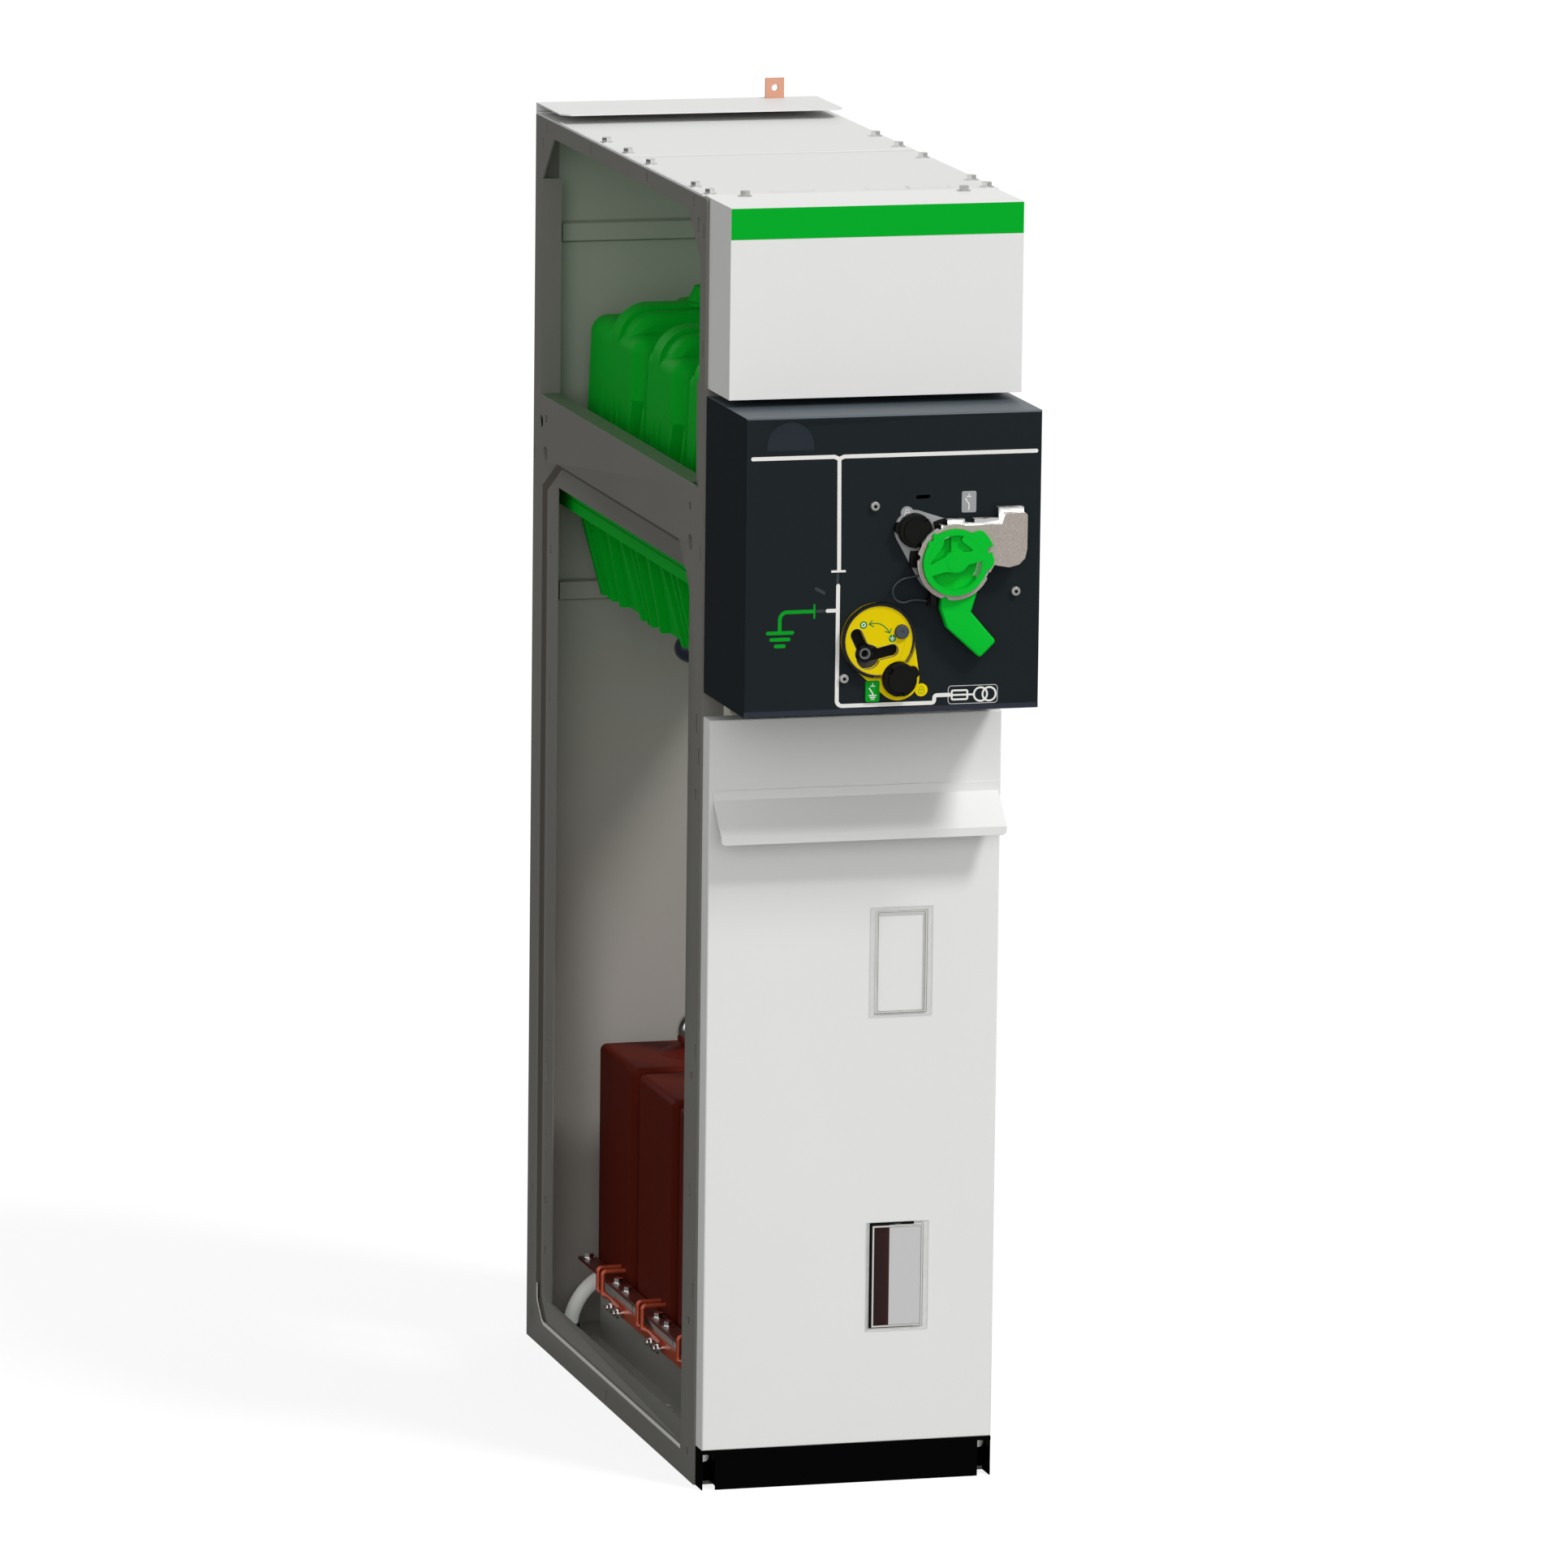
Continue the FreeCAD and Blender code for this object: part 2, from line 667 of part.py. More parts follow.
def cover_screws():
    """Two screws on the cover's top and two at the plinth's ends."""
    tops = [hex_screw(side * cover_screw_x, front + cover_screw_back, cubicle_height) for side in (-1, 1)]
    seat = front - cover_sheet
    x = panel_half_width - plinth_screw_inset
    z = plinth_height - plinth_screw_drop
    lows = [rod_y(bolt_head_r, side * x, z, seat - bolt_head_height, seat) for side in (-1, 1)]
    return Part.makeCompound(tops + lows)


# Floor and plinth

def floor_plate():
    """Raised floor with turned-down edges and a sill at the front."""
    half = floor_half_width
    back = rear - 2 * frame_sheet - seat_gap
    start = front + frame_sheet
    top = block(-half, half, start, back, floor_level - frame_sheet, floor_level)
    skirts = [block(-half, -half + frame_sheet, start, back, frame_sheet, floor_level),
              block(half - frame_sheet, half, start, back, frame_sheet, floor_level),
              block(-half, half, start, start + frame_sheet, frame_sheet, floor_level),
              block(-half, half, back - frame_sheet, back, frame_sheet, floor_level)]
    foot = left + conduit_points[0][0]
    holes = [rod_z(gland_r - 3, foot, conduit_y, floor_level - 5, floor_level + 1)]
    holes += [rod_z(cable_hole_r, 0, y, floor_level - 5, floor_level + 1) for y in phases]
    holes += [rod_z(anchor_access_r, sx * anchor_x, sy * anchor_y, floor_level - 5, floor_level + 1)
              for sx in (-1, 1) for sy in (-1, 1)]
    return joined([top] + skirts).cut(holes)


def plinth():
    """Black skirting: a bowed middle and two set-back ends."""
    half = panel_half_width
    middle = half - plinth_wing - 1
    face = panel_face
    skin = block(-middle, middle, face, face + cover_sheet, 0, plinth_height - 3)
    edge = plinth_height - cover_sheet
    inner = half - cover_sheet
    low = plinth_height - 5
    roll = front_prism([(-half, low), (half, low), (half, edge), (inner, plinth_height),
                        (-inner, plinth_height), (-half, edge)], face, face + 5)
    top = block(-half, half, face + 4, front, plinth_height - cover_sheet, plinth_height)
    ends = []
    for side in (-1, 1):
        x0, x1 = sorted((side * (half - cover_sheet), side * half))
        ends.append(block(x0, x1, face + 1, front, 0, plinth_height))
        x0, x1 = sorted((side * middle, side * (half - cover_sheet)))
        ends.append(block(x0, x1, front - cover_sheet, front, plinth_wing_rise, plinth_height))
        x0, x1 = sorted((side * (middle - cover_sheet), side * middle))
        ends.append(block(x0, x1, face, front, plinth_wing_rise, plinth_height - 1))
    return joined([skin, roll, top] + ends)


# Operating mechanism

def mechanism_chassis():
    """Tray behind the dark cover that carries the mechanism's bearings."""
    half = chassis_half_width
    y0 = front + frame_sheet
    body = block(-half, half, y0, chassis_back, chassis_bottom, chassis_top)
    room = block(-half + frame_sheet, half - frame_sheet, y0 - 1, chassis_back - frame_sheet,
                 chassis_bottom + frame_sheet, chassis_top - frame_sheet)
    tray = body.cut(room)
    bearings = [rod_y(main_shaft_r + 7, main_x, main_z, chassis_back - 16, chassis_back),
                rod_y(journal_r + 8, 0, shaft_z, chassis_back - 16, chassis_back),
                rod_y(main_shaft_r + 7, earth_x, earth_z, chassis_back - 16, chassis_back)]
    tray = joined([tray] + bearings)
    bores = [rod_y(main_shaft_r + turn_gap, main_x, main_z, chassis_back - 20, chassis_back + 1),
             rod_y(journal_r + turn_gap, 0, shaft_z, chassis_back - 20, chassis_back + 1),
             rod_y(main_shaft_r + turn_gap, earth_x, earth_z, chassis_back - 20, chassis_back + 1)]
    return tray.cut(bores)


def mechanism_cover():
    """Dark box cover with the cut-outs for the selectors and the position windows."""
    half = mech_half_width
    body = block(-half, half, mech_face, front, mech_bottom, mech_top)
    rims = edges_where(body, lambda a, b: abs(a.y - mech_face) < 0.1 and abs(b.y - mech_face) < 0.1)
    body = body.makeFillet(mech_corner / 2, rims)
    room = block(-half + mech_wall, half - mech_wall, mech_face + mech_wall, front + 1,
                 mech_bottom + mech_wall, mech_top - mech_wall)
    body = body.cut(room)
    deep = mech_face - 1, mech_face + 2 * mech_wall
    cuts = [rod_y(main_shaft_r + 1, main_x, main_z, *deep), rod_y(earth_hub_r + 0.5, earth_x, earth_z, *deep),
            rod_y(knob_stem_r + turn_gap, main_knob_x, main_knob_z, *deep),
            rod_y(knob_stem_r + turn_gap, earth_knob_x, earth_knob_z, *deep),
            rod_y(button_r / 2 + 0.4, button_x, button_z, *deep)]
    for x, rise, angle in indicator_windows:
        z = shaft_z + rise
        turn = math.radians(angle)
        run = (window_length - window_width) / 2
        cuts.append(slot_bar(x - run * math.cos(turn), z - run * math.sin(turn), angle, 2 * run,
                             window_width / 2, *deep))
    x, z, width, height = key_slot
    cuts.append(slot_bar(x - (width - height) / 2, z, 2.0, width - height, height / 2, *deep))
    low = recess_z + recess_straight
    x0, x1 = recess_x - recess_r, recess_x + recess_r
    disc = rod_y(recess_r, recess_x, low, mech_face - 1, mech_face + recess_depth)
    disc = disc.cut(block(x0 - 1, x1 + 1, mech_face - 2, mech_face + 2, low - recess_r - 1, low))
    stub = block(x0, x1, mech_face - 1, mech_face + recess_depth, recess_z, low)
    return body.cut(cuts + [disc, stub])


def mechanism_screws():
    """Three screws with a hexagon socket on the mechanism's face."""
    screws = []
    for x, rise in mech_screw_places:
        z = mech_bottom + rise
        head = rod_y(mech_screw_r, x, z, mech_face - mech_screw_height, mech_face)
        head = head.makeFillet(1.6, [edge for edge in head.Edges if edge.BoundBox.YMax < mech_face - 1
                                     and edge.BoundBox.YLength < 0.1])
        corners = [(x + 2.6 * math.cos(math.radians(60 * i)), z + 2.6 * math.sin(math.radians(60 * i)))
                   for i in range(6)]
        screws.append(head.cut(front_prism(corners, mech_face - 6, mech_face - 2)))
    return Part.makeCompound(screws)


def main_backplate():
    """Grey teardrop plate behind the main selector and its lock knob, with a raised guard between them."""
    y0, y1 = lever_rear + seat_gap, plate_face
    plate = tangent_hull(main_x, main_z, cap_r + 5, main_knob_x, main_knob_z,
                         knob_r + main_plate_margin, y1, mech_face)
    guard = rod_y(guard_r, main_x, main_z, y0, y1)
    x0, x1 = main_x - guard_r, main_x + guard_right
    guard = guard.common(block(x0, x1, y0, y1, main_z + guard_low, main_z + guard_r))
    cuts = [rod_y(main_shaft_r + 1, main_x, main_z, y1 - 1, mech_face + 1),
            rod_y(main_shaft_r + 7, main_x, main_z, y0 - 1, y1),
            rod_y(knob_r + knob_lug + 0.5, main_knob_x, main_knob_z, y0 - 1, y1),
            rod_y(knob_stem_r + turn_gap, main_knob_x, main_knob_z, y1 - 1, mech_face + 1)]
    return plate.fuse(guard).cut(cuts).removeSplitter()


def earth_backplate():
    """Yellow teardrop plate behind the earthing dial and its lock knob."""
    y0, y1 = plate_face - 1, mech_face + 1
    plate = tangent_hull(dial_x, dial_z, dial_r + dial_plate_margin, earth_knob_x, earth_knob_z,
                         knob_r + earth_plate_margin, y0 + 1, mech_face)
    return plate.cut(lever_slots(0.0, y0, y1) + [
        rod_y(knob_stem_r + turn_gap, earth_knob_x, earth_knob_z, y0, y1),
        rod_y(button_r / 2 + 0.4, button_x, button_z, y0, y1)])


def lever_slots(grow, y0, y1):
    """The two slots of the operating lever, with the round pocket at its socket."""
    wide = slot_half_width + grow
    cuts = [slot_bar(earth_x + shift, earth_z - shift, angle, reach, wide, y0, y1)
            for shift, angle, reach in lever_slot_places]
    cuts.append(rod_y(earth_hub_r + hub_clear + grow, earth_x, earth_z, y0, y1))
    cuts.append(rod_y(pocket_r + grow, earth_x + pocket_shift, earth_z - pocket_shift, y0, y1))
    return cuts


def knob_recess(grow, y0, y1):
    """Round recess in the dial's edge for the lock knob."""
    return rod_y(knob_r + knob_clear + grow, earth_knob_x, earth_knob_z, y0, y1)


def earth_dial():
    """Yellow dial with the V-shaped slot that the operating lever swings in."""
    y0, y1 = plate_face - dial_thickness - 1, plate_face + 1
    disc = rod_y(dial_r, dial_x, dial_z, y0 + 1, plate_face)
    button = rod_y(button_r + button_clear, button_x, button_z, y0, y1)
    return disc.cut(lever_slots(0.0, y0, y1) + [knob_recess(0.0, y0, y1), button])


def dial_rim_ring():
    """Clear rim round the dial."""
    y0, y1 = plate_face - dial_thickness - 3, plate_face + 1
    outer = rod_y(dial_r + dial_rim, dial_x, dial_z, y0 + 1, plate_face)
    return outer.cut([rod_y(dial_r, dial_x, dial_z, y0, y1), knob_recess(0.0, y0, y1)])


def earthing_hub():
    """Black socket that takes the operating lever, on its own shaft."""
    face = plate_face - dial_thickness + 1.5
    hub = rod_y(earth_hub_r, earth_x, earth_z, face, mech_face + 6)
    teeth = []
    for step in range(6):
        turn = math.radians(60 * step + 20)
        teeth.append(rod_y(1.7, earth_x + (earth_hub_r - 0.6) * math.cos(turn),
                           earth_z + (earth_hub_r - 0.6) * math.sin(turn), face - 1, plate_face))
    shaft = rod_y(main_shaft_r, earth_x, earth_z, mech_face + 6, chassis_back + 4)
    hub = hub.cut(teeth).fuse(shaft)
    seat = rod_y(earth_hub_ring_r, earth_x, earth_z, face - 1, face + earth_hub_bore_depth)
    return hub.cut(seat).removeSplitter()


def hub_ring():
    """Steel bush in the socket; the lever's pin goes into it."""
    face = plate_face - dial_thickness + 1.5
    outer = rod_y(earth_hub_ring_r, earth_x, earth_z, face - 0.8, face + earth_hub_bore_depth)
    return outer.cut(rod_y(earth_hub_bore_r, earth_x, earth_z, face - 2, face + earth_hub_bore_depth - 2))


def lock_knob(x, z, lug_angle):
    """Black lock knob with one lug and two notches in its rim."""
    base = plate_face - seat_gap
    face = base - knob_height
    knob = rod_y(knob_r, x, z, face, base)
    edge = [e for e in knob.Edges if e.BoundBox.YLength < 0.1 and e.BoundBox.YMax < face + 0.1]
    knob = knob.makeFillet(1.5, edge)
    lug = slot_bar(x, z, lug_angle, knob_r - 1, 7.0, face + 3, base)
    lug = lug.common(rod_y(knob_r + knob_lug, x, z, face + 3, base))
    step = rod_y(knob_r - 5.5, x, z, face - 2.2, face)
    knob = knob.fuse([lug, step])
    notches = []
    for turn in (lug_angle + 115, lug_angle - 115):
        at = math.radians(turn)
        at_x, at_z = x + (knob_r - 2.0) * math.cos(at), z + (knob_r - 2.0) * math.sin(at)
        notches.append(rod_y(4.6, at_x, at_z, face - 3, face + 5))
    back = mech_face + mech_wall + seat_gap
    stem = rod_y(knob_stem_r, x, z, base, back + 4)
    return knob.cut(notches).fuse([stem, rod_y(knob_stem_r + 4, x, z, back, back + 2)]).removeSplitter()


def release_button():
    """Grey push button through the dial."""
    face = plate_face - dial_thickness - button_stand
    head = rod_y(button_r, button_x, button_z, face, plate_face - button_travel - seat_gap)
    edge = [e for e in head.Edges if e.BoundBox.YLength < 0.1 and e.BoundBox.YMax < face + 0.1]
    head = head.makeFillet(1.2, edge)
    head = head.cut(rod_y(2.0, button_x, button_z, face - 1, face + 0.8))
    stem = rod_y(button_r / 2, button_x, button_z, plate_face - button_travel - seat_gap, mech_face + 14)
    behind = mech_face + mech_wall
    stop = rod_y(button_r / 2 + button_stop_rim, button_x, button_z, behind + seat_gap, behind + 2)
    return joined([head, stem, stop])


def selector_lever():
    """Cast lever of the main selector, with the ring that holds the green cap."""
    body = front_prism([(main_x + x, main_z + z) for x, z in lever_corners], lever_face, lever_rear)
    corners = edges_where(body, lambda a, b: abs(a.x - b.x) + abs(a.z - b.z) < 0.01
                          and a.x > main_x + 62 and abs(a.z - main_z) > 5)
    body = body.makeFillet(3.0, corners)
    low = main_z + lever_corners[0][1]
    high = low + lever_rim_height
    rim = block(main_x - 8, main_x + 56, lever_rear - 10, lever_rear, low, high)
    horn = block(main_x + 56, main_x + 88, lever_rear - 10, lever_rear, low, low + 3 * lever_rim_height)
    rim = rim.fuse(horn)
    rim = rim.cut(block(main_x + 14, main_x + 26, lever_rear - 11, lever_rear + 1, low + 1.5, high + 1))
    ring = rod_y(ring_r, main_x, main_z, lever_face, ring_back)
    neck = rod_y(ring_r - 3, main_x, main_z, ring_back, lever_rear)
    neck = neck.common(block(main_x - 12, main_x + 60, lever_face, lever_rear, main_z - 30, main_z + 60))
    whole = joined([body, rim, ring, neck])
    cuts = [rod_y(cap_r + seat_gap, main_x, main_z, lever_face - 1, ring_back),
            rod_y(cap_core_r + turn_gap, main_x, main_z, ring_back - 1, lever_rear + 1),
            block(main_x - 60, main_x + 36, ring_back, lever_rear + 1, main_z - 60, main_z - 18)]
    for angle in ring_notch_angles:
        turn = math.radians(angle)
        x, z = main_x + ring_notch_at * math.cos(turn), main_z + ring_notch_at * math.sin(turn)
        cuts.append(rod_y(ring_notch_r, x, z, lever_face - 1, ring_back))
    cuts.append(block(main_x + 66, main_x + 84, lever_rear - 9, lever_rear + 1, main_z + 4, main_z + 50))
    return whole.cut(cuts).removeSplitter()


def cap_lobe():
    """Lobed edge of the green cap, over the lever's face."""
    disc = rod_y(13.5, main_x + 30, main_z + 24.5, cap_face, lever_face)
    heel = rod_y(12.0, main_x + 36, main_z + 1.0, cap_face, lever_face)
    web = block(main_x + 18, main_x + 46, cap_face, lever_face, main_z - 5, main_z + 26)
    lobe = joined([disc, heel, web]).common(rod_y(ring_r + 4, main_x, main_z, cap_face, lever_face))
    return lobe.cut(rod_y(ring_notch_r, main_x + 43.5, main_z + 14.5, cap_face - 1, lever_face + 1))


def cap_pockets():
    """Two kidney-shaped hollows on either side of the cap's grip bar."""
    y0, y1 = cap_face - 1, cap_face + cap_pocket
    bowl = rod_y(cap_r - cap_rim, main_x, main_z, y0, y1)
    bar = block(main_x - cap_r, main_x + cap_r, y0, y1, main_z - cap_bar_half, main_z + cap_bar_half)
    hub = rod_y(cap_hub_r, main_x, main_z, y0, y1)
    grip = joined([bar, hub])
    grip.rotate(V(main_x, 0, main_z), V(0, 1, 0), -cap_bar_turn)
    shelf = rod_y(cap_r - cap_rim, main_x, main_z, cap_face + 5.0, y1).common(
        block(main_x - 5, main_x + cap_r, cap_face, y1, main_z + 12, main_z + cap_r))
    return bowl.cut([grip, shelf])


def selector_cap():
    """Green cap with its bent grip arm."""
    disc = rod_y(cap_r, main_x, main_z, cap_face, ring_back)
    core = rod_y(cap_core_r, main_x, main_z, ring_back, lever_rear)
    tabs = []
    for angle, reach in ((128.0, 7.5), (143.0, 5.0)):
        turn = math.radians(angle)
        tabs.append(slot_bar(main_x + 34 * math.cos(turn), main_z + 34 * math.sin(turn), angle, reach, 3.6,
                             cap_face, lever_face - seat_gap))
    y0, y1 = ring_back, ring_back + arm_thickness
    arm = front_prism([(main_x + x, main_z + z) for x, z in arm_corners], y0, y1)
    folds = edges_where(arm, lambda a, b: abs(a.x - b.x) + abs(a.z - b.z) < 0.01 and a.z < main_z - 90)
    arm = arm.makeFillet(4.0, folds)
    rims = edges_where(arm, lambda a, b: max(a.y, b.y) < y0 + 0.01 and min(a.z, b.z) < main_z - 45)
    arm = arm.makeChamfer(1.6, rims)
    whole = joined([disc, core, cap_lobe(), arm] + tabs)
    return whole.cut(cap_pockets())


def selector_shaft():
    """Shaft of the main selector, from the cap's back into the chassis."""
    collar = rod_y(main_shaft_r + 6, main_x, main_z, lever_rear, plate_face - seat_gap)
    return joined([collar, rod_y(main_shaft_r, main_x, main_z, plate_face - seat_gap, chassis_back + 4)])


def rounded_path(points, widest):
    """Straight runs joined by tangent arcs, as wide as their runs and the limit allow."""
    edges = []
    last = V(*points[0])
    for before, here, after in zip(points, points[1:], points[2:]):
        a, b, c = V(*before), V(*here), V(*after)
        back, ahead = (a - b), (c - b)
        reach = 0.45 * min(back.Length, ahead.Length)
        turn = math.pi - back.getAngle(ahead)
        radius = min(reach / math.tan(turn / 2), widest)
        reach = radius * math.tan(turn / 2)
        start = b + back.normalize() * reach
        end = b + ahead.normalize() * reach
        middle = b + (start + end - b * 2).normalize() * (radius / math.cos(turn / 2) - radius)
        print("  bend radius", round(radius, 1))
        edges += [Part.LineSegment(last, start).toShape(), Part.Arc(start, middle, end).toShape()]
        last = end
    edges.append(Part.LineSegment(last, V(*points[-1])).toShape())
    return Part.Wire(edges)


def tube_along(points, radius, widest=1000.0):
    """A round cord, hose or wire along a rounded path."""
    path = rounded_path(points, widest)
    start = V(*points[0])
    heading = V(*points[1]) - start
    profile = Part.Wire(Part.makeCircle(radius, start, heading))
    tube = path.makePipeShell([profile], True, False)
    plain = math.pi * radius ** 2 * path.Length
    print("  length", round(path.Length, 1), "volume check", round(tube.Volume / plain, 4))
    return tube


def lanyard():
    """Thin cord from the lever's ring to its clip."""
    return tube_along([(main_x + x, lanyard_y, main_z + z) for x, z in lanyard_points], lanyard_r)


def end_lean(end, inner):
    """How far the lower or upper edge of the lanyard's slanted end runs past its middle, plus a hair."""
    across = abs(inner[1] - end[1]) / math.hypot(inner[0] - end[0], inner[1] - end[1])
    return lanyard_r * across + 0.02


def lanyard_clip():
    """Black clip that hooks the lanyard's end under the ring, and the eye at its other end."""
    x, z = main_x + lanyard_points[-1][0], main_z + lanyard_points[-1][1]
    near, far = lanyard_y - clip_half_depth, lanyard_y + clip_half_depth
    start = x + end_lean(lanyard_points[-1], lanyard_points[-2])
    clip = block(start, x + clip_length, near, far, z - clip_below, z + clip_above)
    hook = block(x + 2, x + 2 + hook_width, ring_back, far, z - clip_above, z + hook_reach)
    x, z = main_x + lanyard_points[0][0], main_z + lanyard_points[0][1]
    start = x + end_lean(lanyard_points[0], lanyard_points[1])
    eye = block(start, x + 4.5, ring_back, lanyard_y + lanyard_r, z - 3, z + 3)
    return joined([clip, hook]).fuse(eye)


def position_indicator():
    """Sector plate on the switch shaft; its mark shows in the windows of the mimic diagram."""
    y0 = mech_face + mech_wall + 1.5
    hub = rod_y(journal_r + 4, 0, shaft_z, y0, y0 + 12)
    angles = [math.radians(a) for a in (134, 148, 161, 175, 188)]
    rim = [(106.0 * math.cos(a), shaft_z + 106.0 * math.sin(a)) for a in angles]
    sector = front_prism([(4.0, shaft_z - 6.0)] + [(6.0, shaft_z + 8.0)] + rim, y0, y0 + indicator_sheet)
    return joined([hub, sector]).cut(rod_y(journal_r, 0, shaft_z, y0 - 1, y0 + 13))


# Lower front panel

def front_panel():
    """Removable front panel: a folded sheet with two window cut-outs."""
    half = panel_half_width
    y1 = front - seat_gap
    body = block(-half, half, panel_face, y1, plinth_height, panel_top)
    uprights = edges_where(body, lambda a, b: abs(a.y - panel_face) < 0.1 and abs(b.y - panel_face) < 0.1)
    body = body.makeFillet(2.0, uprights)
    room = block(-half + cover_sheet, half - cover_sheet, panel_face + cover_sheet, y1 + 1,
                 plinth_height + cover_sheet, panel_top - cover_sheet)
    body = body.cut(room)
    deep = panel_face - 1, panel_face + 2 * cover_sheet
    cuts = [block(window_x - pane_width / 2, window_x + pane_width / 2, deep[0], deep[1],
                  z - pane_height / 2, z + pane_height / 2) for z in window_levels]
    inner = half - cover_sheet
    lip = block(-inner, -inner + panel_lip, y1 - cover_sheet, y1, plinth_height, panel_top)
    return joined([body.cut(cuts), lip, mirrored(lip)])


def panel_handle():
    """Sloping grip lip across the front panel."""
    y0 = panel_face
    y1 = panel_face - handle_reach
    t = cover_sheet
    flange = 12.0
    lip = side_prism([(y0, handle_top + flange), (y0, handle_top - t), (y1 + t, handle_fold - t / 2),
                      (y1 + t, handle_bottom), (y1, handle_bottom), (y1, handle_fold), (y0 - t, handle_top),
                      (y0 - t, handle_top + flange)], handle_left, handle_right)
    corners = edges_where(lip, lambda a, b: abs(a.y - b.y) > t / 2 and abs(a.z - handle_bottom) < 0.1
                          and abs(b.z - handle_bottom) < 0.1)
    return lip.makeFillet(6.0, corners)


def window_frames():
    """Two bezels, each with a raised inner frame and two clips."""
    frames = []
    for z in window_levels:
        outer = block(window_x - bezel_width / 2, window_x + bezel_width / 2, panel_face - bezel_sheet / 2,
                      panel_face, z - bezel_height / 2, z + bezel_height / 2)
        hole = block(window_x - pane_width / 2 + 1.6, window_x + pane_width / 2 - 1.6, panel_face - 5,
                     panel_face + 20, z - pane_height / 2 + 1.6, z + pane_height / 2 - 1.6)
        tube = block(window_x - pane_width / 2, window_x + pane_width / 2, panel_face - bezel_sheet,
                     panel_face + 5.0, z - pane_height / 2, z + pane_height / 2)
        levels = (z - bezel_height / 2 + clip_inset, z + bezel_height / 2 - clip_inset)
        clips = [block(window_x - 4, window_x + 4, panel_face - bezel_sheet - 0.8, panel_face,
                       level - 2.4, level + 2.4) for level in levels]
        frames.append(joined([outer, tube] + clips).cut(hole).removeSplitter())
    return Part.makeCompound(frames)


def window_pane(level):
    """A pane inside its frame."""
    return block(window_x - pane_width / 2 + 1.6, window_x + pane_width / 2 - 1.6, panel_face + 1.5,
                 panel_face + 1.5 + pane_sheet, level - pane_height / 2 + 1.6, level + pane_height / 2 - 1.6)


# Switch tank

def drafted(y0, y1, half, grow, low, top):
    """A plain form with leaning sides, grown outwards."""
    wide = half + grow
    high = top + grow
    a, b = y0 - grow, y1 + grow
    lean = shell_draft * (high - low) / (shell_crown_z - tank_joint)
    return ruled([(-wide, a, low), (wide, a, low), (wide, b, low), (-wide, b, low)],
                 [(-wide + lean, a + lean, high), (wide - lean, a + lean, high),
                  (wide - lean, b - lean, high), (-wide + lean, b - lean, high)])


def hump(phase, rear_reach, grow, low):
    """Raised part of a lobe; its sides lean in above the shell's wall."""
    body = drafted(phase - hump_front, phase + rear_reach, shell_half_width - hump_inset, grow, low, hump_top)
    high = hump_top + grow
    sides = edges_where(body, lambda p, q: min(p.z, q.z) > high - 0.5 and abs(p.y - q.y) > 1)
    body = body.makeFillet(hump_round + grow, sides)
    limit = phase - hump_front - grow + 2 * shell_draft
    end = [e for e in body.Edges if e.BoundBox.YMax < limit and e.BoundBox.ZMin > low + 1
           and e.BoundBox.ZMax > high - 0.5 and e.BoundBox.XLength > 10]
    return body.makeFillet(hump_end_round, end)


def lobe(phase, grow, low):
    """One lobe of the upper shell; the rear one reaches further back."""
    y1 = shell_rear if phase == phases[0] else phase + lobe_rear
    body = drafted(phase - lobe_front, y1, shell_half_width, grow, low, shell_crown_z)
    body = body.makeFillet(shell_corner + min(grow, 0), edges_where(body, lambda p, q: abs(p.z - q.z) > 10))
    rims = [e for e in body.Edges if e.BoundBox.ZMin > shell_crown_z + grow - 0.5]
    return body.makeFillet(shell_crown + min(grow, 0), rims)


def waist(y, grow, low):
    """Narrow neck between two lobes."""
    half = waist_half_width + grow
    top = waist_top + grow
    reach = (phase_pitch - lobe_rear - lobe_front) / 2 + waist_overlap
    body = block(-half, half, y - reach, y + reach, low, top)
    rims = edges_where(body, lambda p, q: min(p.z, q.z) > top - 0.1 and abs(p.y - q.y) > 10)
    return body.makeFillet(shell_corner + min(grow, 0), rims)


def upper_form(grow, low):
    """Outer or inner form of the upper shell."""
    between = (lobe_rear - lobe_front - phase_pitch) / 2
    necks = [waist(phase + between, grow, low) for phase in phases[:2]]
    lobes = [lobe(phase, grow, low) for phase in phases]
    return joined(lobes + necks)


def fins(side):
    """Triangular fins at the foot of the upper shell."""
    foot = tank_joint + gasket_thickness / 2
    shapes = []
    wall = shell_half_width - shell_draft / 2
    for phase in phases:
        for place, width in fins_at:
            y = phase + place
            fin = front_prism([(-wall + 16, foot), (-shell_half_width - fin_reach, foot),
                               (-wall + 1, foot + fin_height), (-wall + 16, foot + fin_height)],
                              y - width / 2, y + width / 2)
            shapes.append(fin if side < 0 else mirrored(fin))
    return shapes


def terminal_pads():
    """Round pads and bosses on top of the upper shell, one for each phase."""
    shapes = []
    for y in phases:
        pad = rod_z(pad_r, 0, y, hump_top, hump_top + pad_thickness)
        pad = pad.makeFillet(2.5, [e for e in pad.Edges if e.BoundBox.ZLength < 0.1])
        base = rod_z(pad_r - 3, 0, y, shell_crown_z - 2 * shell_wall, hump_top + 1)
        boss = cone_z(boss_base_r, boss_top_r, 0, y, hump_top + pad_thickness, terminal_face)
        shapes.append(joined([base, pad, boss]))
    return shapes


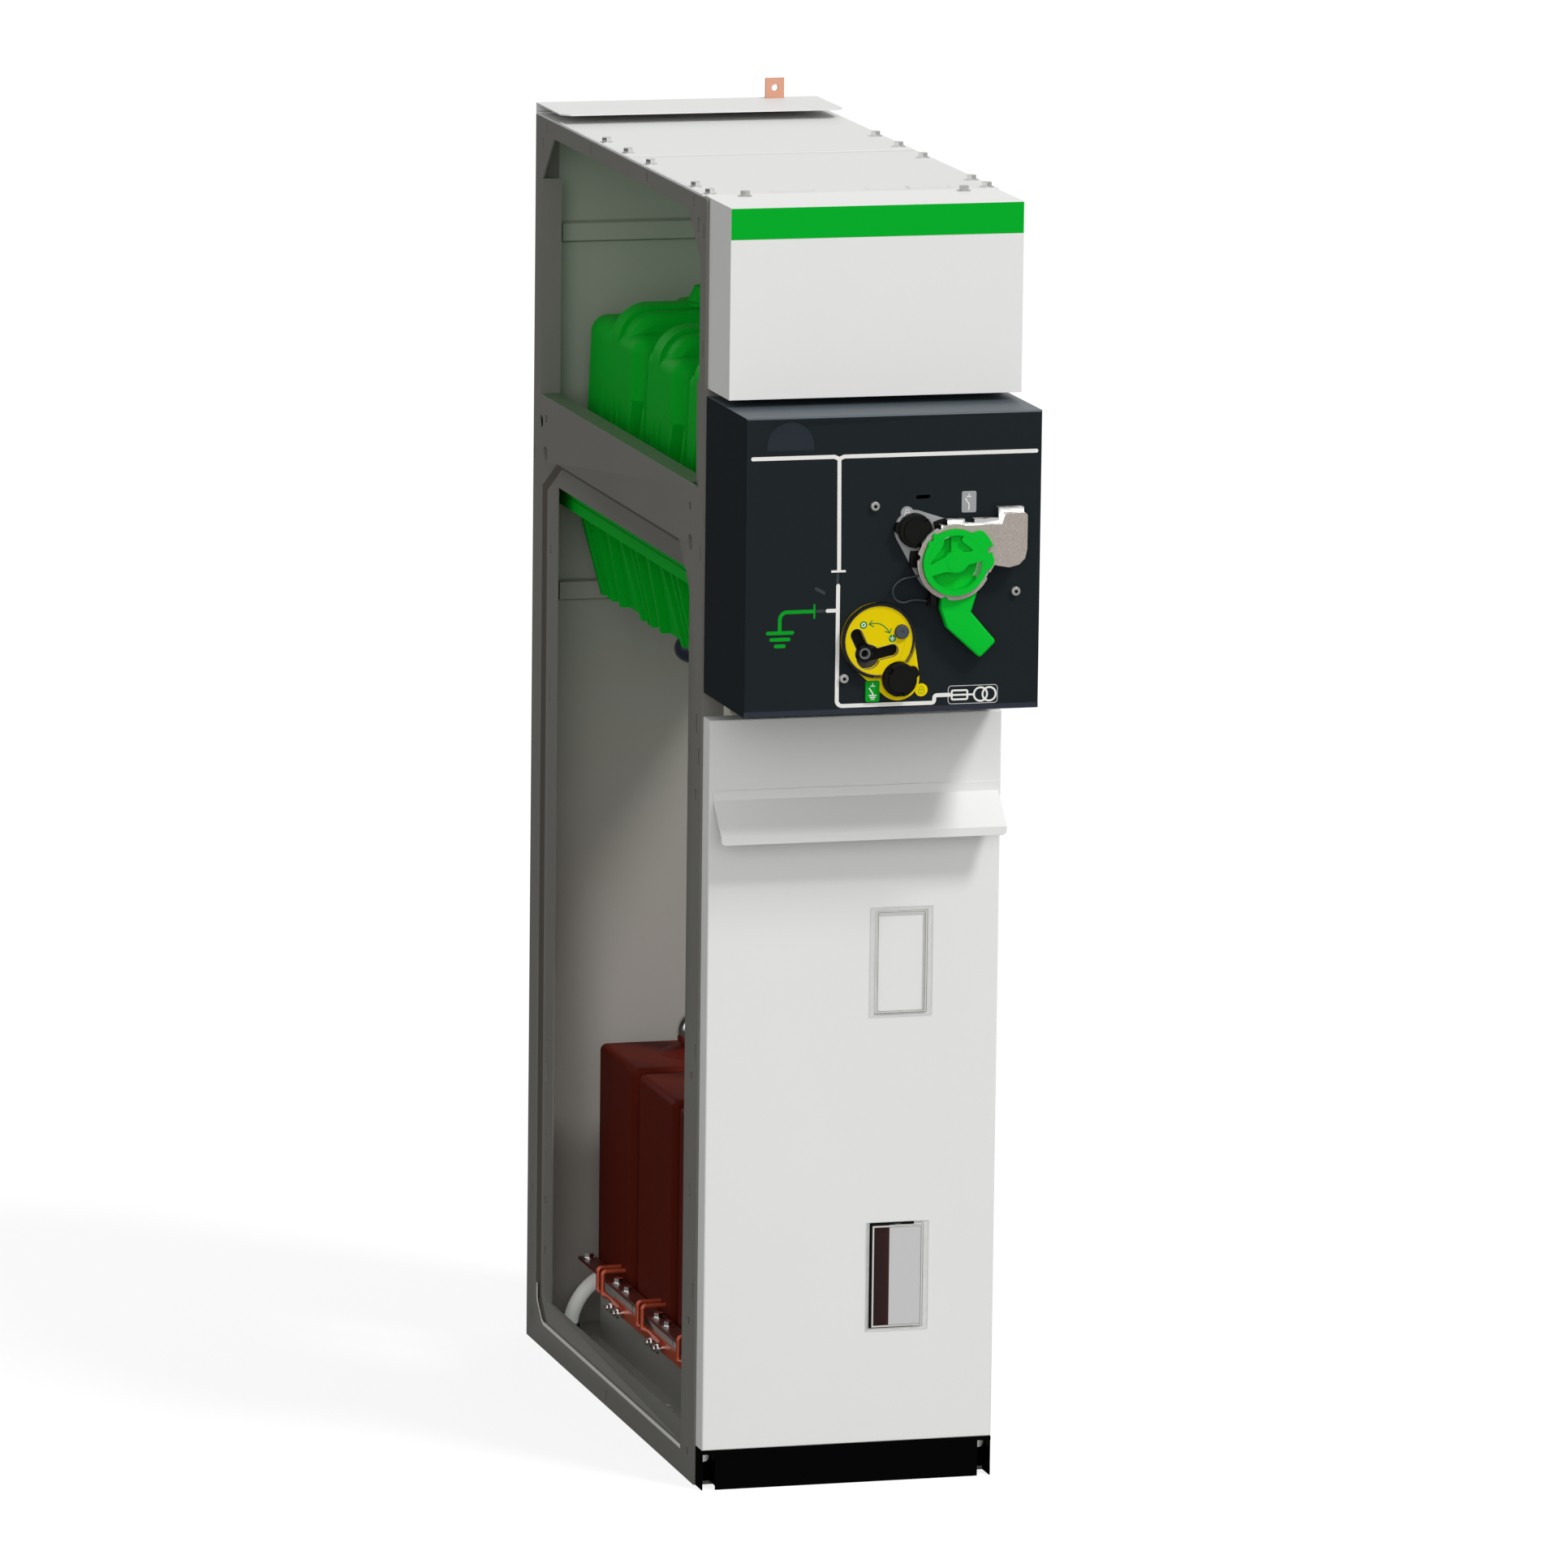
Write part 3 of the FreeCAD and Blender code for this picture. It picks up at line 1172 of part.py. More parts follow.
def tank_upper_shell():
    """Upper half of the sealed tank."""
    low = tank_joint + gasket_thickness / 2
    humps = [hump(phase, hump_rear, 0.0, low) for phase in phases]
    bands = []
    for phase in phases:
        wide = hump(phase, hump_rear, band_proud, low)
        bands.append(wide.common(block(-cubicle_width, cubicle_width, phase - band_front, phase + band_rear,
                                       shell_crown_z - 2 * shell_crown, cubicle_height)))
    flange = block(-tank_flange_half_width, tank_flange_half_width, phase_middle - tank_flange_half_length,
                   phase_middle + tank_flange_half_length, low, beam_bottom)
    flange = flange.makeFillet(12.0, edges_where(flange, lambda p, q: abs(p.z - q.z) > 5))
    whole = joined([upper_form(0.0, low), flange] + humps + bands + fins(-1) + fins(1))
    rooms = [upper_form(-shell_wall, low - 1)]
    rooms += [hump(phase, hump_rear, -shell_wall, low - 1) for phase in phases]
    whole = joined([whole.cut(rooms)] + terminal_pads())
    studs = [rod_z(stud_r, 0, y, beam_bottom, cubicle_height) for y in phases]
    return whole.cut(studs + [journal_bore(phases[2])])


def journal_bore(y1):
    """Bearing of the switch shaft through the tank's front wall, back to y1."""
    return rod_y(journal_r + turn_gap, 0, shaft_z, front, y1)


def tank_gasket():
    """Flat seal between the two half shells."""
    low = tank_joint - gasket_thickness / 2
    high = tank_joint + gasket_thickness / 2
    half = tank_flange_half_width - 2
    y0 = phase_middle - tank_flange_half_length + 2
    y1 = phase_middle + tank_flange_half_length - 2
    inner = shell_half_width - shell_wall
    room = block(-inner, inner, lower_front + shell_wall, lower_rear - shell_wall, low - 1, high + 1)
    return block(-half, half, y0, y1, low, high).cut([room, journal_bore(phases[2])])


def lower_ring(half, y0, y1, z):
    """Corner points of the lower shell at one level."""
    return [(-half, y0, z), (half, y0, z), (half, y1, z), (-half, y1, z)]


def lower_form(grow, top):
    """Tapered body of the lower shell."""
    base = tank_bottom - grow
    half = lower_half_width + grow
    y0, y1 = lower_front - grow, lower_rear + grow
    return ruled(lower_ring(half - lower_taper, y0 + lower_end_taper, y1 - lower_end_taper, base),
                 lower_ring(half, y0, y1, top))


def lower_ribs():
    """Ribs on the long sides of the lower shell, fanned in towards each phase."""
    top = tank_joint - gasket_thickness / 2 - tank_lower_flange
    shapes = []
    for phase in phases:
        for place, width in lower_ribs_at:
            w = width / 2
            a = min(phase + place, lower_rear - w)
            b = phase + place * lower_rib_fan
            hi = lower_half_width + rib_proud
            lo = hi - lower_taper
            n = w * lower_rib_thinning
            inside = 2 * rib_proud + 8
            rib = ruled([(-lo, b - n, tank_bottom), (inside - lo, b - n, tank_bottom),
                         (inside - lo, b + n, tank_bottom), (-lo, b + n, tank_bottom)],
                        [(-hi, a - w, top), (inside - hi, a - w, top), (inside - hi, a + w, top),
                         (-hi, a + w, top)])
            shapes += [rib, mirrored(rib)]
    return shapes


def tank_lower_shell():
    """Lower half of the sealed tank, tapered and ribbed."""
    high = tank_joint - gasket_thickness / 2
    top = high - tank_lower_flange
    flange = block(-tank_flange_half_width, tank_flange_half_width, phase_middle - tank_flange_half_length,
                   phase_middle + tank_flange_half_length, top, high)
    flange = flange.makeFillet(12.0, edges_where(flange, lambda p, q: abs(p.z - q.z) > 5))
    ring_high = field_ring_level + field_ring_height / 2
    ring_low = field_ring_level - field_ring_height / 2
    stems = [cone_z(stem_r, stem_r + 8, 0, y, ring_high, tank_bottom + 2) for y in phases]
    stems += [rod_z(stem_r, 0, y, ring_low, ring_high + 1) for y in phases]
    boss = rod_y(journal_r + 8, 0, shaft_z, lower_front - 14, lower_front + shell_wall + 14)
    whole = joined([lower_form(0.0, top), flange] + lower_ribs() + stems)
    inner_front, inner_rear = lower_front + shell_wall, lower_rear - shell_wall
    inner = lower_half_width - shell_wall
    room = lower_form(-shell_wall, top + 1).fuse(block(-inner, inner, inner_front, inner_rear, top, high + 1))
    below = block(-cubicle_width, cubicle_width, front, rear, 0, high)
    post = block(-20, 20, inner_rear - 14, inner_rear, tank_bottom + 30, high)
    studs = [rod_z(stud_r, 0, y, 0, tank_bottom + 20) for y in phases]
    seat = rod_y(journal_r + turn_gap, 0, shaft_z, inner_rear - 20, inner_rear)
    whole = whole.cut(room).fuse([post, boss.common(below)])
    return whole.cut(studs + [journal_bore(phases[2]), seat]).removeSplitter()


def switch_shaft():
    """Insulating shaft through the tank, with its drive end in the mechanism."""
    start = lower_front + shell_wall + 15
    end = lower_rear - shell_wall
    body = rod_y(shaft_r, 0, shaft_z, start, end - 15)
    drive = rod_y(journal_r, 0, shaft_z, mech_face + mech_wall + 1.5, start)
    tail = rod_y(journal_r, 0, shaft_z, end - 15, end - 0.5)
    cams = [rod_y(shaft_r + 6, 0, shaft_z, y - 22, y + 22) for y in phases]
    return joined([body, drive, tail] + cams).cut([turned_blade(y) for y in phases])


def turned_blade(y):
    """One moving contact bar across the shaft, leaning from the upright."""
    half = blade_width / 2
    bar = block(-blade_thickness / 2, blade_thickness / 2, y - half, y + half, shaft_z - blade_reach,
                shaft_z + blade_reach)
    bar.rotate(V(0, y, shaft_z), V(0, 1, 0), -blade_angle)
    return bar


def moving_contacts():
    """Three contact bars through the shaft."""
    return Part.makeCompound([turned_blade(y) for y in phases])


def fixed_contact(y, way):
    """Contact fingers on both sides of the moving bar's path; way is 1 above the shaft and -1 below it."""
    tip = blade_reach + blade_gap
    side = blade_width / 2 + turn_gap * 6
    levels = sorted((shaft_z + way * (tip - finger_grip), shaft_z + way * (tip + finger_root)))
    fingers = [block(-finger_width / 2, finger_width / 2, a, b, *levels)
               for a, b in ((y - side - finger_thickness, y - side), (y + side, y + side + finger_thickness))]
    levels = sorted((shaft_z + way * tip, shaft_z + way * (tip + finger_root)))
    return fingers + [block(-finger_width / 2, finger_width / 2, y - side, y + side, *levels)]


def upper_terminals():
    """Copper studs through the upper shell, with the fixed contact fingers inside."""
    shapes = []
    for y in phases:
        stud = rod_z(stud_r, 0, y, shaft_z + blade_reach + blade_gap + finger_root - 1, terminal_face + 2)
        thread = rod_z(busbar_thread_r, 0, y, terminal_face + 2 - busbar_thread_depth, terminal_face + 3)
        shapes.append(joined([stud] + fixed_contact(y, 1)).cut(thread))
    return Part.makeCompound(shapes)


def lower_terminals():
    """Copper studs through the lower shell, down to the fuses."""
    shapes = []
    low = field_ring_level - field_ring_height / 2
    for y in phases:
        stud = rod_z(stud_r, 0, y, low, shaft_z - blade_reach - blade_gap - finger_root + 1)
        shapes.append(joined([stud] + fixed_contact(y, -1)))
    return Part.makeCompound(shapes)


def field_rings():
    """Thick rounded rings that even out the field at the fuses' upper ends."""
    shapes = []
    half = field_ring_height / 2
    for y in phases:
        inner_low, inner_high = V(stem_r, y, field_ring_level - half), V(stem_r, y, field_ring_level + half)
        round_low = V(field_ring_r - half, y, field_ring_level - half)
        round_high = V(field_ring_r - half, y, field_ring_level + half)
        profile = [Part.LineSegment(inner_low, round_low).toShape(),
                   Part.Arc(round_low, V(field_ring_r, y, field_ring_level), round_high).toShape(),
                   Part.LineSegment(round_high, inner_high).toShape(),
                   Part.LineSegment(inner_high, inner_low).toShape()]
        shapes.append(Part.Face(Part.Wire(profile)).revolve(V(0, y, 0), V(0, 0, 1), 360))
    return Part.makeCompound(shapes)


# Fuses and voltage transformers

def fuse_link(y):
    """A fuse: insulating tube with a metal cap at each end."""
    low = vt_ball_level + vt_ball_r
    high = field_ring_level - field_ring_height / 2
    tube = rod_z(fuse_r, 0, y, low + fuse_cap_length, high - fuse_cap_length)
    caps = [rod_z(fuse_cap_r, 0, y, low, low + fuse_cap_length),
            rod_z(fuse_cap_r, 0, y, high - fuse_cap_length, high)]
    caps = [cap.makeFillet(2.0, [e for e in cap.Edges if e.BoundBox.ZLength < 0.1]) for cap in caps]
    return joined([tube] + caps)


def transformer(y):
    """A resin voltage transformer with a domed foot for its high-voltage terminal."""
    body = block(-vt_half_width, vt_half_width, y - vt_depth / 2, y + vt_depth / 2, vt_bottom, vt_top)
    body = body.makeFillet(vt_edge, edges_where(body, lambda p, q: max(p.z, q.z) > vt_top - 0.1))
    r0, r1, h = vt_dome_r, vt_neck_r, vt_dome_height
    middle = V((r0 + r1) / 2, y, vt_top + 0.34 * h)
    lines = [Part.LineSegment(V(0, y, vt_top - 2), V(r0, y, vt_top - 2)).toShape(),
             Part.LineSegment(V(r0, y, vt_top - 2), V(r0, y, vt_top)).toShape(),
             Part.Arc(V(r0, y, vt_top), middle, V(r1, y, vt_top + h)).toShape(),
             Part.LineSegment(V(r1, y, vt_top + h), V(0, y, vt_top + h)).toShape(),
             Part.LineSegment(V(0, y, vt_top + h), V(0, y, vt_top - 2)).toShape()]
    dome = Part.Face(Part.Wire(lines)).revolve(V(0, y, 0), V(0, 0, 1), 360)
    ball = Part.makeSphere(vt_ball_r, V(0, y, vt_ball_level))
    whole = joined([body, dome]).cut(ball)
    return whole.removeSplitter()


def vt_terminal_caps():
    """Polished balls on the transformers, which carry the fuses' lower ends."""
    shapes = []
    for y in phases:
        ball = Part.makeSphere(vt_ball_r, V(0, y, vt_ball_level))
        top = vt_ball_level + vt_ball_r
        flat = block(-vt_ball_r, vt_ball_r, y - vt_ball_r, y + vt_ball_r, top - 1.5, top + 1)
        neck = rod_z(fuse_cap_r - 6, 0, y, vt_ball_level + 10, top)
        shapes.append(ball.cut(flat).fuse(neck).removeSplitter())
    return Part.makeCompound(shapes)


def support_span():
    """Front and rear ends of the transformers' support."""
    return phases[2] - support_reach, phases[0] + support_reach


def vt_support():
    """Folded steel bench under the transformers, with feet and the earth bar's brackets."""
    y0, y1 = support_span()
    half = support_half_width
    t = support_sheet
    outer = block(-half, half, y0, y1, floor_level, vt_bottom)
    room = block(-half + t, half - t, y0 + t, y1 - t, floor_level - 1, vt_bottom - t)
    y2 = y1 + support_foot_rear
    feet = [block(-half - support_foot, -half + t, y0, y2, floor_level, floor_level + t),
            block(half - t, half + support_foot, y0, y2, floor_level, floor_level + t)]
    bench = joined([outer.cut(room)] + feet)
    arms = []
    under = earth_bar_level
    low = earth_strip_top - earth_strip_height
    reach = -bracket_face
    for y in phases:
        a, b = max(y + bracket_reach[0], earth_bar_front), y + bracket_reach[1]
        outline = [(a, under), (a, low), (b - 30, low), (b - 30, earth_strip_top), (b, under - t), (b, under)]
        flange = side_prism(outline, -reach, -reach + t)
        hole = rod(bracket_hole_r, (-reach - 1, a + 24, under - 6), (-reach + t + 1, a + 24, under - 6))
        arms += [block(-half - t, -half, max(a, y0), b, vt_bottom - 30, under),
                 block(-reach, -half - t, a, b, under - t, under), flange.cut(hole)]
    low, high = floor_level - 1, floor_level + t + 1
    holes = [rod_z(support_bolt_r, side * support_bolt_x, y + support_bolt_offset, low, high)
             for side in (-1, 1) for y in phases]
    return joined([bench] + arms).cut(holes)


def support_bolts():
    """Bolts through the support's feet."""
    top = floor_level + support_sheet
    shapes = []
    for side in (-1, 1):
        for y in phases:
            x, at = side * support_bolt_x, y + support_bolt_offset
            stem = rod_z(support_bolt_r, x, at, floor_level, top + 1)
            shapes.append(hex_screw(x, at, top).fuse(stem).removeSplitter())
    return Part.makeCompound(shapes)


def earth_bar():
    """Copper earth bar along the transformers."""
    x1 = -earth_bar_inner
    x0 = x1 - earth_bar_width
    top = earth_bar_level + earth_bar_thickness
    return block(x0, x1, earth_bar_front, earth_bar_rear, earth_bar_level, top)


def earth_strip():
    """Copper strip on the brackets' hanging flanges."""
    return block(-strip_face, bracket_face, earth_bar_front, earth_strip_rear,
                 earth_strip_top - earth_strip_height, earth_strip_top)


def earth_bolts():
    """Bolts of the earth bar: two at each phase and one at its rear end."""
    top = earth_bar_level + earth_bar_thickness
    x = -earth_bar_inner - earth_bar_width / 2
    places = [y + offset for y in phases for offset in earth_bolt_offsets if y + offset > earth_bar_front + 8]
    places.append(earth_bar_rear - 13)
    return Part.makeCompound([hex_screw(x, y, top) for y in places])


def vt_leads():
    """Bent copper leads from the transformers over the bar and down to the clamps."""
    shapes = []
    hang = -earth_bar_inner - earth_bar_width - lead_r - lead_clear
    rest = -strip_face - lead_r
    for y, end in lead_places():
        points = [(-vt_half_width, y, lead_top), (hang, y, lead_top), (hang, y, lead_drop),
                  (rest, y - 26, lead_end + 2), (rest, end, lead_end)]
        shapes.append(tube_along(points, lead_r, lead_bend))
    return Part.makeCompound(shapes)


def lead_places():
    """Depths of each lead's terminal and clamp, as far forward as the strip runs."""
    places = []
    for phase in phases:
        for offset, clamp in zip(lead_offsets, clamp_offsets):
            if phase + clamp > earth_bar_front + clamp_washer_r:
                places.append((phase + offset, phase + clamp))
    return places


def lead_clamps():
    """Bolts with washers that clamp the leads' ends to the strip."""
    shapes = []
    near = -strip_face - 2 * lead_r
    z = lead_end - lead_r - clamp_bolt_r
    for y in [end for start, end in lead_places()]:
        turns = [math.radians(60 * i) for i in range(6)]
        corners = [(y + clamp_nut_r * math.cos(a), z + clamp_nut_r * math.sin(a)) for a in turns]
        outer = near - clamp_washer - clamp_nut
        shapes.append(joined([rod(clamp_bolt_r, (outer - 3, y, z), (-strip_face, y, z)),
                              rod(clamp_washer_r, (near - clamp_washer, y, z), (near, y, z)),
                              side_prism(corners, outer, near - clamp_washer)]))
    return Part.makeCompound(shapes)


def earth_tab():
    """Copper tab that stands above the roof's rear edge."""
    y1 = tab_rear
    y0 = y1 - tab_thickness
    half = tab_width / 2
    bar = block(tab_x - half, tab_x + half, y0, y1, tab_foot, tab_top)
    foot = block(tab_x - half, tab_x + half, y1, rear - frame_sheet, tab_foot, tab_foot + 60)
    return bar.fuse(foot).cut(rod_y(tab_hole_r, tab_x, tab_hole_z, y0 - 1, y1 + 1)).removeSplitter()


# Wiring conduit

def conduit():
    """Grey hose from the floor to the terminal box; its points run in from the left side."""
    return tube_along([(left + x, conduit_y, z) for x, z in conduit_points], conduit_r)


def conduit_fittings():
    """Gland on the floor, and the terminal box on the support's rear wall."""
    x = left + conduit_points[0][0]
    end_x, end_z = left + conduit_points[-1][0], conduit_points[-1][1]
    y0 = support_span()[1]
    gland = rod_z(gland_r, x, conduit_y, floor_level, floor_level + gland_height)
    nut = rod(gland_r, (end_x - gland_height, conduit_y, end_z), (end_x, conduit_y, end_z))
    box = block(end_x, end_x + box_width, y0, conduit_y + gland_r + 2, box_bottom, vt_bottom - seat_gap)
    box = box.makeFillet(3.0, edges_where(box, lambda p, q: abs(p.y - q.y) > 10))
    return Part.makeCompound([gland, box.fuse(nut)]).cut(conduit())


for name, make in (
        ("left_side_frame", side_frame), ("rear_panel", rear_panel), ("roof_rear_panel", roof_rear_panel),
        ("roof_front_panel", roof_front_panel), ("roof_deflector", roof_deflector),
        ("roof_bolts", roof_bolts), ("busbar_front_wall", busbar_front_wall),
        ("upper_front_cover", upper_front_cover),
        ("cover_screws", cover_screws), ("floor_plate", floor_plate), ("plinth", plinth),
        ("mechanism_chassis", mechanism_chassis), ("mechanism_cover", mechanism_cover),
        ("mechanism_screws", mechanism_screws), ("main_backplate", main_backplate),
        ("earth_backplate", earth_backplate), ("earth_dial", earth_dial), ("dial_rim", dial_rim_ring),
        ("earthing_hub", earthing_hub), ("hub_ring", hub_ring), ("release_button", release_button),
        ("selector_lever", selector_lever), ("selector_cap", selector_cap),
        ("selector_shaft", selector_shaft), ("lanyard", lanyard), ("lanyard_clip", lanyard_clip),
        ("position_indicator", position_indicator),
        ("front_panel", front_panel), ("panel_handle", panel_handle), ("window_frames", window_frames),
        ("tank_upper_shell", tank_upper_shell), ("tank_gasket", tank_gasket),
        ("tank_lower_shell", tank_lower_shell), ("switch_shaft", switch_shaft),
        ("moving_contacts", moving_contacts), ("upper_terminals", upper_terminals),
        ("lower_terminals", lower_terminals), ("field_rings", field_rings),
        ("vt_terminal_caps", vt_terminal_caps), ("vt_support", vt_support), ("support_bolts", support_bolts),
        ("earth_bar", earth_bar), ("earth_strip", earth_strip), ("earth_bolts", earth_bolts),
        ("vt_leads", vt_leads), ("lead_clamps", lead_clamps), ("earth_tab", earth_tab),
        ("conduit", conduit), ("conduit_fittings", conduit_fittings)):
    save(name, make())

save("right_side_frame", mirrored(side_frame()))
save("main_lock_knob", lock_knob(main_knob_x, main_knob_z, 170.0))
save("earth_lock_knob", lock_knob(earth_knob_x, earth_knob_z, 25.0))
save("blank_pane", window_pane(window_levels[0]))
save("clear_pane", window_pane(window_levels[1]))
for phase_name, phase_y in zip(phase_names, phases):
    save("fuse_" + phase_name, fuse_link(phase_y))
    save("vt_" + phase_name, transformer(phase_y))
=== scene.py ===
import json
import math

import bmesh
import bpy
from mathutils import Matrix, Vector


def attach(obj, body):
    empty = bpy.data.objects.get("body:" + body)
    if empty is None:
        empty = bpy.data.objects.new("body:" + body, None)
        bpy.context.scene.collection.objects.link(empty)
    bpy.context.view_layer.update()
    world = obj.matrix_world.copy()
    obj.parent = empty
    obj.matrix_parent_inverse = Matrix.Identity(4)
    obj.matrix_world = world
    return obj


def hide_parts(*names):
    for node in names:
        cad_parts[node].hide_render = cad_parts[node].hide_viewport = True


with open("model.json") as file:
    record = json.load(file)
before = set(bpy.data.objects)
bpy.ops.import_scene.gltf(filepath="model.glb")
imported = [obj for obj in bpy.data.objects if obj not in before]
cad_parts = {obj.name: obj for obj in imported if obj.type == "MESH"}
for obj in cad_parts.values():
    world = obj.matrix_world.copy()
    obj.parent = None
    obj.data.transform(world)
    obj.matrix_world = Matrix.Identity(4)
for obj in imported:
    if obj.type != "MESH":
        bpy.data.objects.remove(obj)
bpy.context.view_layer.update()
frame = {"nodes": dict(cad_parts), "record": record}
mm = 0.001


def linear(red, green, blue):    # a screen colour, 0 to 255
    def one(value):
        value /= 255.0
        return value / 12.92 if value <= 0.04045 else ((value + 0.055) / 1.055) ** 2.4
    return (one(red), one(green), one(blue), 1.0)


def newMaterial(name):
    material = bpy.data.materials.new(name)
    material.use_nodes = True
    return material, material.node_tree.nodes, material.node_tree.links


def noiseNode(nodes, links, scale, detail, stretch=(1, 1, 1)):
    place = nodes.new("ShaderNodeTexCoord")
    mapping = nodes.new("ShaderNodeMapping")
    mapping.inputs["Scale"].default_value = stretch
    noise = nodes.new("ShaderNodeTexNoise")
    noise.inputs["Scale"].default_value = scale
    noise.inputs["Detail"].default_value = detail
    links.new(place.outputs["Object"], mapping.inputs["Vector"])
    links.new(mapping.outputs["Vector"], noise.inputs["Vector"])
    return noise


def mixColours(nodes, links, share, low, high):    # low and high are colours or outputs; sockets 6 and 7 take them
    mix = nodes.new("ShaderNodeMix")
    mix.data_type = "RGBA"
    links.new(share, mix.inputs[0])
    for number, value in ((6, low), (7, high)):
        if isinstance(value, bpy.types.NodeSocket):
            links.new(value, mix.inputs[number])
        else:
            mix.inputs[number].default_value = value
    return mix.outputs[2]


# What a finish has when it names nothing else; the scales are noise cells per metre
plainFinish = {"patchy": 0.05, "cloudScale": 9, "cloudDetail": 3, "grainScale": 900, "grainDetail": 2,
               "stretch": (1, 1, 1), "speckRange": (0.42, 0.62), "roughSpread": 0.05, "metal": 0.0, "shine": 0.5,
               "ior": 1.45, "alpha": 1.0, "glow": 0.0, "bump": 0.1, "bumpDepth": 0.0001}


def finish(name, changes):
    style = {**plainFinish, **changes}
    material, nodes, links = newMaterial(name)
    shader = nodes["Principled BSDF"]
    dark, light = (tuple(min(c * (1 + shift), 1) for c in style["colour"][:3]) + (1,)
                   for shift in (-style["patchy"], style["patchy"]))
    cloud = noiseNode(nodes, links, style["cloudScale"], style["cloudDetail"], style["stretch"])
    grain = noiseNode(nodes, links, style["grainScale"], style["grainDetail"], style["stretch"])
    colour = mixColours(nodes, links, cloud.outputs["Fac"], dark, light)
    # Specks, and on the lever's top the dark stretched bands of painted reflection
    if "speckAndReflection" in style:
        ramp = nodes.new("ShaderNodeValToRGB")
        for stop, position in zip(ramp.color_ramp.elements, style["speckRange"]):
            stop.position = position
        links.new(grain.outputs["Fac"], ramp.inputs["Fac"])
        colour = mixColours(nodes, links, ramp.outputs["Color"], colour, style["speckAndReflection"])
    # A colour that takes over lower down, used to paint light that changes with height
    if "paintedLightByHeight" in style:
        lowColour, lowHeight, highHeight = style["paintedLightByHeight"]
        spot = nodes.new("ShaderNodeTexCoord")
        split = nodes.new("ShaderNodeSeparateXYZ")
        height = nodes.new("ShaderNodeMapRange")
        height.inputs["From Min"].default_value = lowHeight * mm
        height.inputs["From Max"].default_value = highHeight * mm
        height.interpolation_type = "SMOOTHSTEP"
        links.new(spot.outputs["Object"], split.inputs["Vector"])
        links.new(split.outputs["Z"], height.inputs["Value"])
        colour = mixColours(nodes, links, height.outputs["Result"], lowColour, colour)
    links.new(colour, shader.inputs["Base Color"])
    if style["glow"]:
        links.new(colour, shader.inputs["Emission Color"])
    rough = nodes.new("ShaderNodeMapRange")
    rough.inputs["To Min"].default_value = style["rough"] - style["roughSpread"]
    rough.inputs["To Max"].default_value = style["rough"] + style["roughSpread"]
    links.new(cloud.outputs["Fac"], rough.inputs["Value"])
    links.new(rough.outputs["Result"], shader.inputs["Roughness"])
    for socketName, key in (("Metallic", "metal"), ("Specular IOR Level", "shine"), ("IOR", "ior"), ("Alpha", "alpha"),
                            ("Emission Strength", "glow")):
        shader.inputs[socketName].default_value = style[key]
    bump = nodes.new("ShaderNodeBump")
    bump.inputs["Strength"].default_value = style["bump"]
    bump.inputs["Distance"].default_value = style["bumpDepth"]
    links.new(grain.outputs["Fac"], bump.inputs["Height"])
    links.new(bump.outputs["Normal"], shader.inputs["Normal"])
    return material


